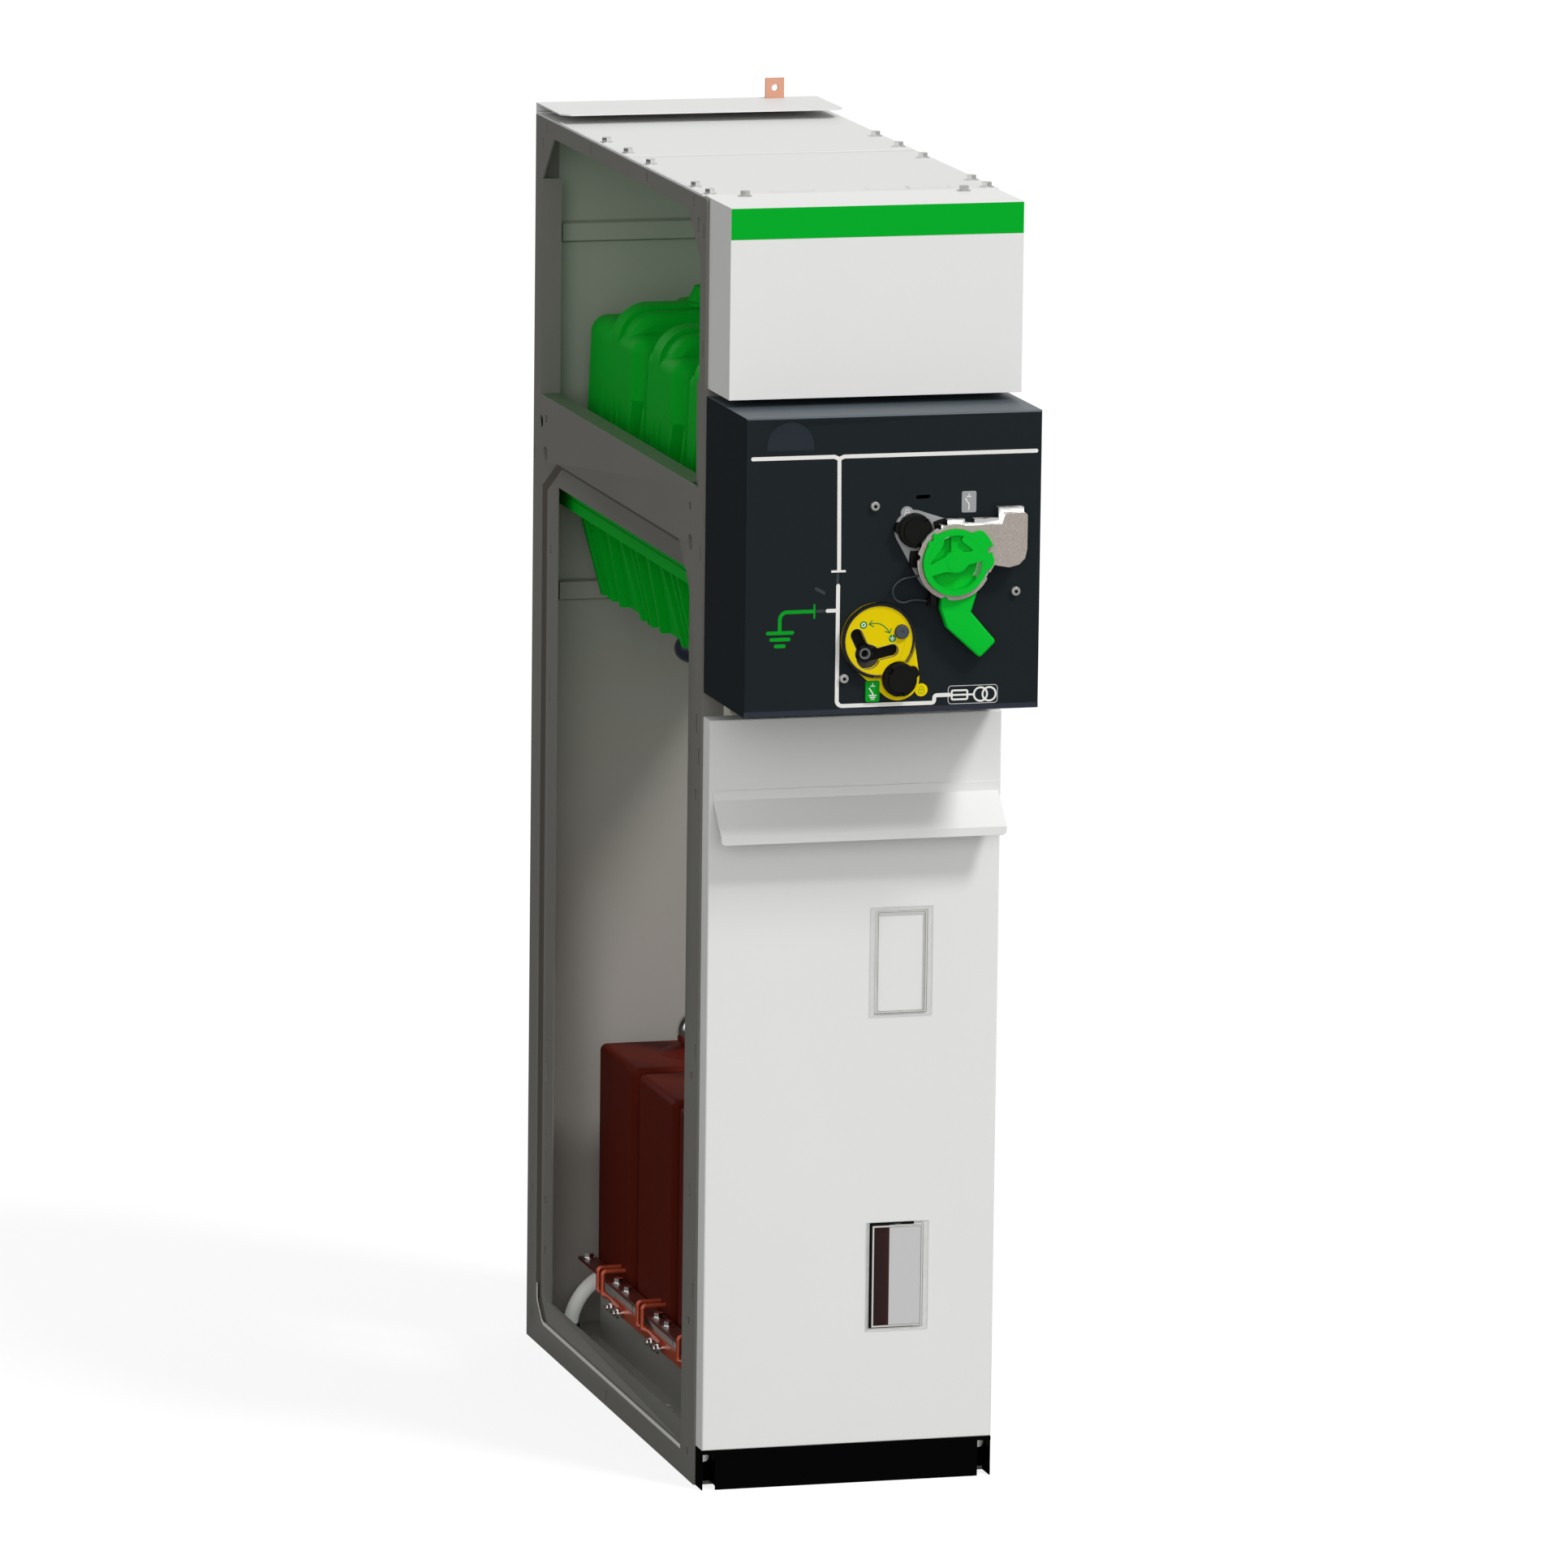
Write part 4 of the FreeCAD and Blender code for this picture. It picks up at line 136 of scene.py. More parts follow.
finishes = {
    "panel_white": {"colour": linear(223, 223, 221), "rough": 0.45, "patchy": 0.008, "bump": 0.06, "shine": 0.15},
    "roof_white": {"colour": linear(215, 215, 214), "rough": 0.45, "patchy": 0.008, "bump": 0.06, "shine": 0.15},
    "frame_grey": {"colour": linear(120, 119, 113), "rough": 0.5, "patchy": 0.05, "bump": 0.08, "shine": 0.1,
                   "cloudScale": 5},
    # Painted highlight for the bright bends of the frame
    "bend_highlight": {"colour": linear(232, 231, 226), "rough": 0.4, "patchy": 0.05, "shine": 0.3},
    "inner_grey": {"colour": linear(150, 146, 139), "rough": 0.5, "patchy": 0.04, "shine": 0.1},
    # Painted light on the rear wall: greenish above, standing in for light reflected from the green tank, turning to a
    # plain grey lower down
    "wall_painted_light": {"colour": linear(156, 165, 150), "rough": 0.5, "patchy": 0.05, "shine": 0.1, "stretch": (1, 1, 0.3),
                  "paintedLightByHeight": (linear(160, 155, 149), 500, 1300)},
    "mechanism_dark": {"colour": linear(27, 33, 36), "rough": 0.5, "patchy": 0.04, "bump": 0.1, "shine": 0.06},
    # Painted highlight: a lighter copy of the box's dark paint for its top, which is lit from above
    "box_top_highlight": {"colour": linear(70, 79, 85), "rough": 0.4, "patchy": 0.05, "shine": 0.3},
    "recess_dark": {"colour": linear(37, 44, 50), "rough": 0.5, "patchy": 0.06, "cloudScale": 20, "shine": 0.08},
    "plinth_black": {"colour": linear(5, 5, 5), "rough": 0.6, "patchy": 0.1, "shine": 0.01},
    "galvanised": {"colour": linear(150, 149, 142), "rough": 0.42, "patchy": 0.08, "cloudScale": 40, "metal": 0.2},
    "bolt_steel": {"colour": linear(190, 190, 188), "rough": 0.25, "patchy": 0.1, "metal": 0.9},
    "chrome": {"colour": linear(230, 230, 228), "rough": 0.12, "patchy": 0.03, "metal": 1.0, "roughSpread": 0.03},
    "ring_steel": {"colour": linear(98, 99, 101), "rough": 0.45, "patchy": 0.1, "cloudScale": 200, "shine": 0.2},
    "screw_steel": {"colour": linear(150, 150, 148), "rough": 0.35, "patchy": 0.1, "metal": 0.5, "shine": 0.3},
    "tank_green": {"colour": linear(2, 168, 38), "rough": 0.45, "patchy": 0.05, "bump": 0.12, "shine": 0.06},
    "cap_green": {"colour": linear(3, 184, 46), "rough": 0.45, "patchy": 0.02, "bump": 0.05, "shine": 0.08},
    "dial_yellow": {"colour": linear(220, 195, 0), "rough": 0.35, "patchy": 0.02, "bump": 0.05, "shine": 0.08},
    "plate_yellow": {"colour": linear(231, 205, 0), "rough": 0.5, "patchy": 0.02, "bump": 0.05, "shine": 0.08},
    "plate_grey": {"colour": linear(150, 152, 153), "rough": 0.5, "patchy": 0.08, "cloudScale": 30, "shine": 0.2},
    "knob_black": {"colour": linear(9, 8, 7), "rough": 0.5, "patchy": 0.2, "bump": 0.2, "shine": 0.12},
    "button_grey": {"colour": linear(60, 66, 75), "rough": 0.4, "patchy": 0.12, "cloudScale": 300, "shine": 0.3},
    "clear_plastic": {"colour": linear(222, 224, 223), "rough": 0.2, "roughSpread": 0.03, "patchy": 0.01,
                      "alpha": 0.12},
    # Painted shade: the clear rim tinted dark, standing in for the shade around the dial
    "rim_shade": {"colour": linear(24, 27, 30), "rough": 0.25, "roughSpread": 0.03, "patchy": 0.01, "alpha": 0.45},
    # Painted highlight: a pale copy of the lever's metal for its upward faces, with dark stretched bands as painted
    # reflections
    "lever_top_highlight": {"colour": linear(228, 226, 222), "rough": 0.3, "patchy": 0.05, "speckAndReflection": linear(20, 20, 20),
                   "grainScale": 75, "speckRange": (0.5, 0.53), "stretch": (1, 4, 1), "metal": 0.3},
    # Painted shade for the step's slanted sides that look down
    "step_shade": {"colour": linear(88, 84, 78), "rough": 0.5, "patchy": 0.05, "shine": 0.1},
    # Painted reflection: greenish grey for the beam lip's top, standing in for green light reflected from the tank
    "lip_green_reflection": {"colour": linear(88, 108, 84), "rough": 0.4, "patchy": 0.05, "shine": 0.2},
    "shadow_black": {"colour": linear(8, 9, 10), "rough": 0.6, "patchy": 0.1, "shine": 0.05},
    "line_grey": {"colour": linear(112, 107, 100), "rough": 0.5, "patchy": 0.03, "shine": 0.1},
    "line_pale": {"colour": linear(204, 204, 201), "rough": 0.5, "patchy": 0.01, "shine": 0.1},
    "fold_blue": {"colour": linear(43, 48, 58), "rough": 0.5, "patchy": 0.05, "shine": 0.1},
    "clear_sheet": {"colour": linear(30, 32, 32), "rough": 0.15, "roughSpread": 0.03, "patchy": 0.01, "alpha": 0.3},
    "cast_metal": {"colour": linear(176, 167, 160), "rough": 0.55, "patchy": 0.04, "metal": 0.1,
                   "speckAndReflection": linear(146, 137, 130), "grainScale": 1500, "bump": 0.5, "bumpDepth": 0.0003, "shine": 0.3},
    "copper": {"colour": linear(182, 78, 50), "rough": 0.35, "patchy": 0.15, "metal": 0.35, "cloudScale": 60},
    # Painted light on copper: the earth tab's pale copy stands in for lit copper, the earth bar's dark brown copy for
    # copper in shade
    "copper_lit": {"colour": linear(206, 150, 124), "rough": 0.45, "patchy": 0.08, "metal": 0.1, "cloudScale": 60},
    "copper_in_shade": {"colour": linear(86, 30, 21), "rough": 0.4, "patchy": 0.1, "metal": 0.2, "cloudScale": 60},
    "resin_red": {"colour": linear(82, 24, 15), "rough": 0.45, "patchy": 0.05, "bump": 0.1, "shine": 0.03},
    "fuse_body": {"colour": linear(150, 140, 125), "rough": 0.3, "patchy": 0.05},
    "ring_grey": {"colour": linear(38, 47, 62), "rough": 0.35, "patchy": 0.05},
    "seal_black": {"colour": linear(14, 14, 14), "rough": 0.7, "patchy": 0.1, "shine": 0.2},
    # Painted light: the hose is paler and glows a little to stand in for light it lacks in shade
    "hose_grey": {"colour": linear(236, 236, 232), "rough": 0.45, "patchy": 0.03, "shine": 0.2, "glow": 0.12},
    "cord_black": {"colour": linear(34, 38, 42), "rough": 0.55, "patchy": 0.1, "bump": 0.6, "grainScale": 2500},
    "flag_grey": {"colour": linear(84, 92, 98), "rough": 0.5, "patchy": 0.05, "shine": 0.1},
    "insulator": {"colour": linear(200, 190, 160), "rough": 0.5, "patchy": 0.05},
    "sign_white": {"colour": linear(225, 224, 219), "rough": 0.5, "patchy": 0.01, "shine": 0.2},
    "sign_green": {"colour": linear(2, 150, 33), "rough": 0.5, "patchy": 0.02, "shine": 0.1},
    "mark_green": {"colour": linear(2, 125, 52), "rough": 0.5, "patchy": 0.02, "shine": 0.1},
    "lime": {"colour": linear(150, 170, 0), "rough": 0.5, "patchy": 0.02, "shine": 0.1},
    "edge_blue": {"colour": linear(62, 66, 84), "rough": 0.4, "patchy": 0.1, "shine": 0.4},
    "band_green": {"colour": linear(3, 167, 40), "rough": 0.45, "patchy": 0.01, "shine": 0.04},
    "label_grey": {"colour": linear(152, 154, 156), "rough": 0.5, "patchy": 0.03, "cloudScale": 60, "shine": 0.2},
    "sign_grey": {"colour": linear(208, 208, 208), "rough": 0.5, "patchy": 0.01, "shine": 0.2},
    "roof_mark": {"colour": linear(204, 204, 203), "rough": 0.5, "patchy": 0.01, "shine": 0.2},
    # Painted highlight for the roof's seam and left edge
    "roof_highlight": {"colour": linear(240, 240, 239), "rough": 0.5, "patchy": 0.01, "shine": 0.2},
    # Painted shading for the pocket's bowl
    "pocket_shading": {"colour": linear(58, 56, 54), "rough": 0.5, "patchy": 0.15, "cloudScale": 200, "shine": 0.2},
    # Painted shade for the slots' floors
    "slot_shade": {"colour": linear(9, 8, 8), "rough": 0.6, "patchy": 0.15, "cloudScale": 200, "shine": 0.1},
}
materials = {name: finish(name, style) for name, style in finishes.items()}
print("materials", len(materials))

slots = {row["node"]: row["material_slot"] for row in frame["record"]["subparts"]}
bodyOf = {name: body for body, names in frame["record"]["behaviour"]["bodies"].items() for name in names}
# Pieces that look unlike their slot
# The rear wall, earth tab, earth bar and dial rim take copies with painted light or shade
looks = {"rear_panel": "wall_painted_light", "clear_pane": "clear_sheet", "earth_tab": "copper_lit", "earth_bar": "copper_in_shade",
         "busbar_front_wall": "inner_grey", "selector_lever": "chrome", "dial_rim": "rim_shade",
         "hub_ring": "ring_steel", "mechanism_screws": "screw_steel", "roof_bolts": "chrome",
         "support_bolts": "chrome", "earth_bolts": "chrome", "lead_clamps": "chrome"}


def lookOf(name):
    return looks.get(name, slots[name])


for nodeName, node in frame["nodes"].items():
    node.data.materials.clear()
    node.data.materials.append(materials[lookOf(nodeName)])

# Softened copies: the CAD pieces with small rounds on their edges, in millimetres and degrees
softening = {"merge": 0.02, "flat": 0.6, "smooth": 38, "corner": 40, "segments": 2}


def softCopy(name, width, paints=(), edge=None):    # paints: faces that pass a test; edge: the rounds' own finish
    bm = bmesh.new()
    bm.from_mesh(frame["nodes"][name].data)
    bmesh.ops.remove_doubles(bm, verts=bm.verts, dist=softening["merge"] * mm)
    bmesh.ops.dissolve_limit(bm, angle_limit=math.radians(softening["flat"]), verts=bm.verts, edges=bm.edges)
    bmesh.ops.recalc_face_normals(bm, faces=bm.faces)
    for face in bm.faces:
        face.smooth = True
        face.material_index = 0
        middle = face.calc_center_median() / mm
        for index, (paint, test) in enumerate(paints):
            if test(middle, face.normal):
                face.material_index = index + 1
    mesh = bpy.data.meshes.new(name + "_soft")
    bm.to_mesh(mesh)
    bm.free()
    mesh.set_sharp_from_angle(angle=math.radians(softening["smooth"]))
    piece = bpy.data.objects.new(name + "_soft", mesh)
    bpy.context.scene.collection.objects.link(piece)
    names = [lookOf(name)] + [paint for paint, test in paints]
    for paint in names + ([edge] if edge else []):
        mesh.materials.append(materials[paint])
    bevel = piece.modifiers.new("round", "BEVEL")
    bevel.width = width * mm
    bevel.segments = softening["segments"]
    bevel.limit_method = "ANGLE"
    bevel.angle_limit = math.radians(softening["corner"])
    bevel.harden_normals = True
    if edge:
        bevel.material = len(names)
    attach(piece, bodyOf[name])
    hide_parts(name)


boxFace = -604.4
roundings = {"upper_front_cover": 1.2, "front_panel": 1.0, "panel_handle": 0.5, "roof_rear_panel": 0.5,
             "roof_front_panel": 0.5, "roof_deflector": 0.6, "plinth": 0.6, "selector_cap": 0.6,
             "main_lock_knob": 0.8, "earth_lock_knob": 0.8, "earth_dial": 0.4, "earth_backplate": 0.4,
             "vt_support": 0.8, "earth_bar": 0.5, "earth_strip": 0.4, "earth_tab": 0.5, "floor_plate": 0.6,
             "release_button": 0.3, "window_frames": 0.3}
for name, width in roundings.items():
    softCopy(name, width)

# Heights and depths that part one paint from another
paintLimits = {"lip": (1241, 1243), "step": 1170, "boxTop": 1350, "recess": (boxFace + 0.4, boxFace + 1.2),
               "leverFace": -625, "plateRim": -607.3}


def isBeamLip(at, normal):
    return normal.z > 0.9 and paintLimits["lip"][0] < at.z < paintLimits["lip"][1]


# These sides get painted shade
def isStepSide(at, normal):    # the joggled step's slanted sides that look down
    return abs(normal.x) > 0.3 and max(-normal.z, abs(normal.y)) > 0.3 and at.z < paintLimits["step"]


# The box's top faces, which get the painted highlight
def isBoxTop(at, normal):
    return normal.z > 0.3 and at.z > paintLimits["boxTop"]


def isRecess(at, normal):
    return normal.y < -0.9 and paintLimits["recess"][0] < at.y < paintLimits["recess"][1]


def isLeverFace(at, normal):
    return normal.y < -0.9 and at.y < paintLimits["leverFace"]


# Upward faces of the lever, which get the painted highlight
def isLeverTop(at, normal):
    return normal.z > 0.5


def isPlateRim(at, normal):
    return at.y < paintLimits["plateRim"]


for name in ("left_side_frame", "right_side_frame"):
    softCopy(name, 0.5, [("lip_green_reflection", isBeamLip), ("step_shade", isStepSide)])
softCopy("mechanism_cover", 1.2, [("box_top_highlight", isBoxTop), ("recess_dark", isRecess)])
softCopy("selector_lever", 0.7, [("cast_metal", isLeverFace), ("lever_top_highlight", isLeverTop)], "chrome")
softCopy("main_backplate", 0.4, [("knob_black", isPlateRim)])
print("softened pieces")


# Flat signs and lines: thin plates that stand a little proud of a face
outward = {"front": Vector((0, -1, 0)), "left": Vector((-1, 0, 0)), "top": Vector((0, 0, 1))}


def addMesh(name, build, material, body):
    mesh = bpy.data.meshes.new(name)
    bm = bmesh.new()
    build(bm)
    bmesh.ops.recalc_face_normals(bm, faces=bm.faces)
    bm.to_mesh(mesh)
    bm.free()
    piece = bpy.data.objects.new(name, mesh)
    bpy.context.scene.collection.objects.link(piece)
    mesh.materials.append(materials[material])
    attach(piece, body)


def placeOn(plane, u, v, level):
    spots = {"front": (u, level, v), "left": (level, u, v), "top": (u, v, level)}
    return Vector(spots[plane]) * mm


def extrudeBy(bm, faces, shift):
    pushed = bmesh.ops.extrude_face_region(bm, geom=faces)
    moved = [item for item in pushed["geom"] if isinstance(item, bmesh.types.BMVert)]
    bmesh.ops.translate(bm, verts=moved, vec=shift)


def addPlate(bm, outline, face, thickness=0.15, plane="front"):
    rise = outward[plane] * thickness * mm
    vertices = [bm.verts.new(placeOn(plane, u, v, face) + rise) for u, v in outline]
    extrudeBy(bm, [bm.faces.new(vertices)], -rise)


def strokeOutline(route, width):
    points = [p for i, p in enumerate(route) if not i or (Vector(p) - Vector(route[i - 1])).length > 0.02]
    sides = ([], [])
    for index, point in enumerate(points):
        here = Vector(point)
        before = (here - Vector(points[index - 1])).normalized() if index else None
        after = (Vector(points[index + 1]) - here).normalized() if index + 1 < len(points) else None
        along = ((before or after) + (after or before)).normalized()
        across = Vector((-along.y, along.x))
        straight = before or after
        reach = width / 2 / max(abs(across.dot(Vector((-straight.y, straight.x)))), 0.4)
        sides[0].append(here + across * reach)
        sides[1].append(here - across * reach)
    return [tuple(p) for p in sides[0] + sides[1][::-1]]


def arcPoints(x, z, radius, start, end, steps):
    turns = [math.radians(start + (end - start) * i / steps) for i in range(steps + 1)]
    return [(x + radius * math.cos(a), z + radius * math.sin(a)) for a in turns]


def discOutline(x, z, radius, steps=32):
    return arcPoints(x, z, radius, 0, 360 - 360 / steps, steps - 1)


def rectOutline(x0, x1, z0, z1, corner=0.0):
    if not corner:
        return [(x0, z0), (x1, z0), (x1, z1), (x0, z1)]
    centres = ((x1 - corner, z1 - corner), (x0 + corner, z1 - corner), (x0 + corner, z0 + corner),
               (x1 - corner, z0 + corner))
    return [point for quarter, (x, z) in enumerate(centres)
            for point in arcPoints(x, z, corner, 90 * quarter, 90 * quarter + 90, 5)]


def closed(outline):
    return outline + [outline[0]]


def addRing(bm, x, z, radius, width, face, thickness=0.15, steps=40):
    half = steps // 2
    for start in (0, 180):
        outer = arcPoints(x, z, radius + width / 2, start, start + 180, half)
        inner = arcPoints(x, z, radius - width / 2, start + 180, start, half)
        addPlate(bm, outer + inner, face, thickness)


def addStroke(bm, points, width, face, thickness=0.15, plane="front"):
    addPlate(bm, strokeOutline(points, width), face, thickness, plane)


def addLine(bm, points, width, face, thickness=0.15, roundStart=True, roundEnd=True):
    addStroke(bm, points, width, face, thickness)
    for wanted, (x, z) in ((roundStart, points[0]), (roundEnd, points[-1])):
        if wanted:
            addPlate(bm, discOutline(x, z, width / 2, 20), face, thickness * 1.04)


# Mimic of the circuit; where lines cross, each has its own thickness so that no two faces share a level
mimicLine = {"width": 4.8, "top": 1308.0, "left": -176.5, "right": 177.8, "dip": 2.8, "dipReach": 6.0, "x": -69.0,
             "lean": 1.3, "bar": 1168.4, "barReach": (8.4, 9.6), "barWidth": 2.7, "lowTop": 1150.7, "lowShift": 0.4,
             "lowBottom": 1003.6, "corner": 7.0, "stepX": 53.8, "stepZ": 1012.6, "stepCorner": 3.2, "end": 74.0,
             "stub": 1120.6, "stubEnd": -81.5, "stubGap": 1.6, "stubShare": 0.95, "fillet": 3.4, "filletRise": 0.2,
             "thick": {"line": 0.15, "stem": 0.13, "fillet": 0.12, "bar": 0.16}}


def buildMimic(bm):
    m = mimicLine
    x, w, top, thick = m["x"], m["width"], m["top"], m["thick"]
    dip = (x, top - m["dip"])
    addLine(bm, [(m["left"], top), (x - m["dipReach"], top), dip, (x + m["dipReach"], top), (m["right"], top)], w,
            boxFace, thick["line"])
    addStroke(bm, [dip, (x + m["lean"], m["bar"])], w, boxFace, thick["stem"])
    for side in (-1, 1):    # fillets between the top line and the stem
        edge, low, f = x + side * w / 2, top - w / 2 + m["filletRise"], m["fillet"]
        bow = arcPoints(edge + side * f, low - f, f, 90, 180 if side > 0 else 0, 6)
        addPlate(bm, bow + [(edge, low)], boxFace, thick["fillet"])
    addStroke(bm, [(x - m["barReach"][0], m["bar"]), (x + m["barReach"][1], m["bar"])], m["barWidth"], boxFace,
              thick["bar"])
    c, s, lowX = m["corner"], m["stepCorner"], x + m["lowShift"]
    low = [(lowX, m["lowTop"]), (lowX, m["lowBottom"] + c)]
    low += arcPoints(lowX + c, m["lowBottom"] + c, c, 180, 270, 6)
    low += arcPoints(m["stepX"] - s, m["lowBottom"] + s, s, 270, 360, 4)
    low += arcPoints(m["stepX"] + s, m["stepZ"] - s, s, 180, 90, 4)
    addLine(bm, low + [(m["end"], m["stepZ"])], w, boxFace, thick["line"], True, False)
    addLine(bm, [(m["stubEnd"], m["stub"]), (x - m["stubGap"], m["stub"])], w * m["stubShare"], boxFace,
            thick["stem"], True, False)


addMesh("mimic_lines", buildMimic, "sign_white", "cubicle")

earthSign = {"x": -141.0, "z": 1120.5, "bar": -98.0, "barEnds": (1111.7, 1129.2), "barWidth": 2.2, "width": 4.4,
             "corner": 9, "foot": 1096, "half": 2.2, "round": 2.1,
             "bars": ((-158.0, -123.0, 1095.4), (-153.7, -127.5, 1087.4), (-148.0, -133.4, 1079.3))}


def buildEarthSign(bm):
    e = earthSign
    addStroke(bm, [(e["bar"], z) for z in e["barEnds"]], e["barWidth"], boxFace)
    bow = arcPoints(e["x"] + e["corner"], e["z"] - e["corner"], e["corner"], 90, 180, 6)
    addStroke(bm, [(e["bar"], e["z"])] + bow + [(e["x"], e["foot"])], e["width"], boxFace, 0.13)
    for x0, x1, z in e["bars"]:
        addPlate(bm, rectOutline(x0, x1, z - e["half"], z + e["half"], e["round"]), boxFace)


addMesh("earth_sign", buildEarthSign, "sign_green", "cubicle")

fuseSign = {"frame": (71.3, 133.2, 1001.3, 1023.3, 4.0), "frameWidth": 0.7, "body": (75.8, 95.4, 1006.6, 1017.6, 1.6),
            "start": 72.0, "z": 1012.1, "rings": (112.0, 122.9), "ring": 8.3, "stroke": 2.3}


def buildFuseSign(bm):
    f = fuseSign
    z, w = f["z"], f["stroke"]
    addStroke(bm, closed(rectOutline(*f["body"])), w, boxFace, 0.16)
    addStroke(bm, [(f["start"], z), (f["rings"][0] - f["ring"], z)], w, boxFace, 0.13)
    for index, x in enumerate(f["rings"]):
        addRing(bm, x, z, f["ring"], w, boxFace, 0.15 + 0.02 * index)


def buildFuseFrame(bm):
    addStroke(bm, closed(rectOutline(*fuseSign["frame"])), fuseSign["frameWidth"], boxFace, 0.12)


addMesh("fuse_sign", buildFuseSign, "sign_white", "cubicle")
addMesh("fuse_sign_frame", buildFuseFrame, "sign_grey", "cubicle")

# Labels beside the selectors: box ends with its corner radius, high is how far plate and padlock disc stand out
greyLabel = {"box": (84.9, 103.1, 1235.3, 1261.3, 2.2), "padlock": (16.1, 1237.2, 7.9), "high": (0.3, 2.8)}
greenLabel = {"box": (-33.4, -15.8, 1007.9, 1033.8, 2.2), "padlock": (37.3, 1019.9, 7.9), "high": (2.8, 0.3)}
# Strokes of the two switch symbols: width, thickness, points
openSwitch = ((1.1, 0.1, ((94.0, 1258.4), (94.0, 1254.8))), (1.2, 0.12, ((91.0, 1254.7), (97.0, 1254.7))),
              (1.3, 0.1, ((89.2, 1252.8), (94.1, 1245.6), (93.8, 1238.2))))
earthSwitch = ((1.1, 0.1, ((-24.5, 1030.9), (-24.5, 1027.2))), (1.2, 0.12, ((-27.4, 1027.1), (-21.6, 1027.1))),
               (1.4, 0.1, ((-29.0, 1025.0), (-24.3, 1017.8), (-24.3, 1015.8))),
               (1.2, 0.12, ((-29.4, 1015.7), (-19.4, 1015.7))), (1.2, 0.12, ((-28.1, 1013.3), (-20.7, 1013.3))),
               (1.2, 0.12, ((-26.7, 1011.2), (-22.1, 1011.2))))
padlockSign = {"body": (3.7, -4.6, 0.6, 2.2), "stroke": 1.1, "shackle": (2.1, 0.4, 2.6),
               "key": ((-0.9, -3.0), (0.7, -1.4))}


def buildLabelPlate(label):
    def build(bm):
        addPlate(bm, rectOutline(*label["box"]), boxFace, label["high"][0])
    return build


def buildPadlockDisc(label):
    def build(bm):
        addPlate(bm, discOutline(*label["padlock"], 48), boxFace, label["high"][1])
    return build


def buildPadlock(label):
    def build(bm):
        x, z, radius = label["padlock"]
        face, stroke = boxFace - label["high"][1], padlockSign["stroke"]
        half, low, high, corner = padlockSign["body"]
        addStroke(bm, closed(rectOutline(x - half, x + half, z + low, z + high, corner)), stroke, face, 0.1)
        reach, foot, bow = padlockSign["shackle"]
        shackle = [(x - reach, z + foot)] + arcPoints(x, z + bow, reach, 180, 0, 8) + [(x + reach, z + foot)]
        addStroke(bm, shackle, stroke, face, 0.12)
        addLine(bm, [(x + dx, z + dz) for dx, dz in padlockSign["key"]], stroke, face, 0.12)
    return build


def buildStrokes(strokes, face):
    def build(bm):
        for width, thickness, points in strokes:
            addStroke(bm, list(points), width, face, thickness)
    return build


addMesh("grey_label", buildLabelPlate(greyLabel), "label_grey", "cubicle")
addMesh("grey_padlock_disc", buildPadlockDisc(greyLabel), "label_grey", "cubicle")
addMesh("grey_padlock", buildPadlock(greyLabel), "sign_grey", "cubicle")
addMesh("open_switch_sign", buildStrokes(openSwitch, boxFace - greyLabel["high"][0]), "sign_white", "cubicle")
addMesh("green_label", buildLabelPlate(greenLabel), "sign_green", "cubicle")
addMesh("yellow_padlock_disc", buildPadlockDisc(greenLabel), "plate_yellow", "cubicle")
addMesh("yellow_padlock", buildPadlock(greenLabel), "lime", "cubicle")
addMesh("earth_switch_sign", buildStrokes(earthSwitch, boxFace - greenLabel["high"][0]), "sign_white", "cubicle")

# Marks on the earthing dial
dialFace = -613.0
dialMarks = {"zero": (-38.6, 1103.3), "earth": (-2.2, 1085.7), "disc": 4.6, "stroke": 1.3, "ring": (2.1, 1.4),
             "arc": ((-31.4, 1103.9), (-27.0, 1104.8), (-22.3, 1104.9), (-17.6, 1103.8), (-13.2, 1101.2),
                     (-9.0, 1097.4), (-5.5, 1092.5)),
             "barbs": (((-28.0, 1108.3), (-31.4, 1103.9), (-26.0, 1100.8)),
                       ((-3.9, 1097.8), (-5.5, 1092.5), (-11.3, 1094.6))),
             "thin": 0.9, "stem": (3.6, 0.6), "bars": ((3.1, -0.6), (2.2, 0.9), (1.2, 2.4))}


def buildDialMarks(bm):
    d = dialMarks
    for x, z in (d["zero"], d["earth"]):
        addPlate(bm, discOutline(x, z, d["disc"], 36), dialFace, 0.12)
    addStroke(bm, list(d["arc"]), d["stroke"], dialFace, 0.12)
    for barb in d["barbs"]:
        addLine(bm, list(barb), d["stroke"], dialFace, 0.13)


def buildDialSymbols(bm):
    d = dialMarks
    face = dialFace - 0.12    # on top of the discs
    addRing(bm, *d["zero"], *d["ring"], face, 0.08)
    x, z = d["earth"]
    addStroke(bm, [(x, z + rise) for rise in d["stem"]], d["thin"], face, 0.08)
    for half, drop in d["bars"]:
        addStroke(bm, [(x - half, z - drop), (x + half, z - drop)], d["thin"], face, 0.09)


addMesh("dial_marks", buildDialMarks, "mark_green", "cubicle")
addMesh("dial_symbols", buildDialSymbols, "sign_white", "cubicle")

# The dial's recess: two slots (shift, turn, reach), a hub seat and a pocket, and the knob that covers the dial's edge
socket = {"x": -36.1, "z": 1068.0, "half": 7.5, "slots": ((0.0, 115.0, 25.5), (4.0, 13.2, 31.0)), "hub": 12.4,
          "pocket": 15.0, "shift": 4.0, "gap": 0.4, "floor": -604.6}
dial = {"x": -19.1, "z": 1083.6, "radius": 42.5, "knob": (7.5, 1035.0, 0.0, 0.01, 22.6), "slotLine": 0.8,
        "edgeLine": 0.5,
        "seam": ((22.0, 1094.5), (18.5, 1091.7), (14.5, 1083.9), (12.1, 1074.0), (9.2, 1063.2), (4.7, 1057.6)),
        "seamLine": 0.35}


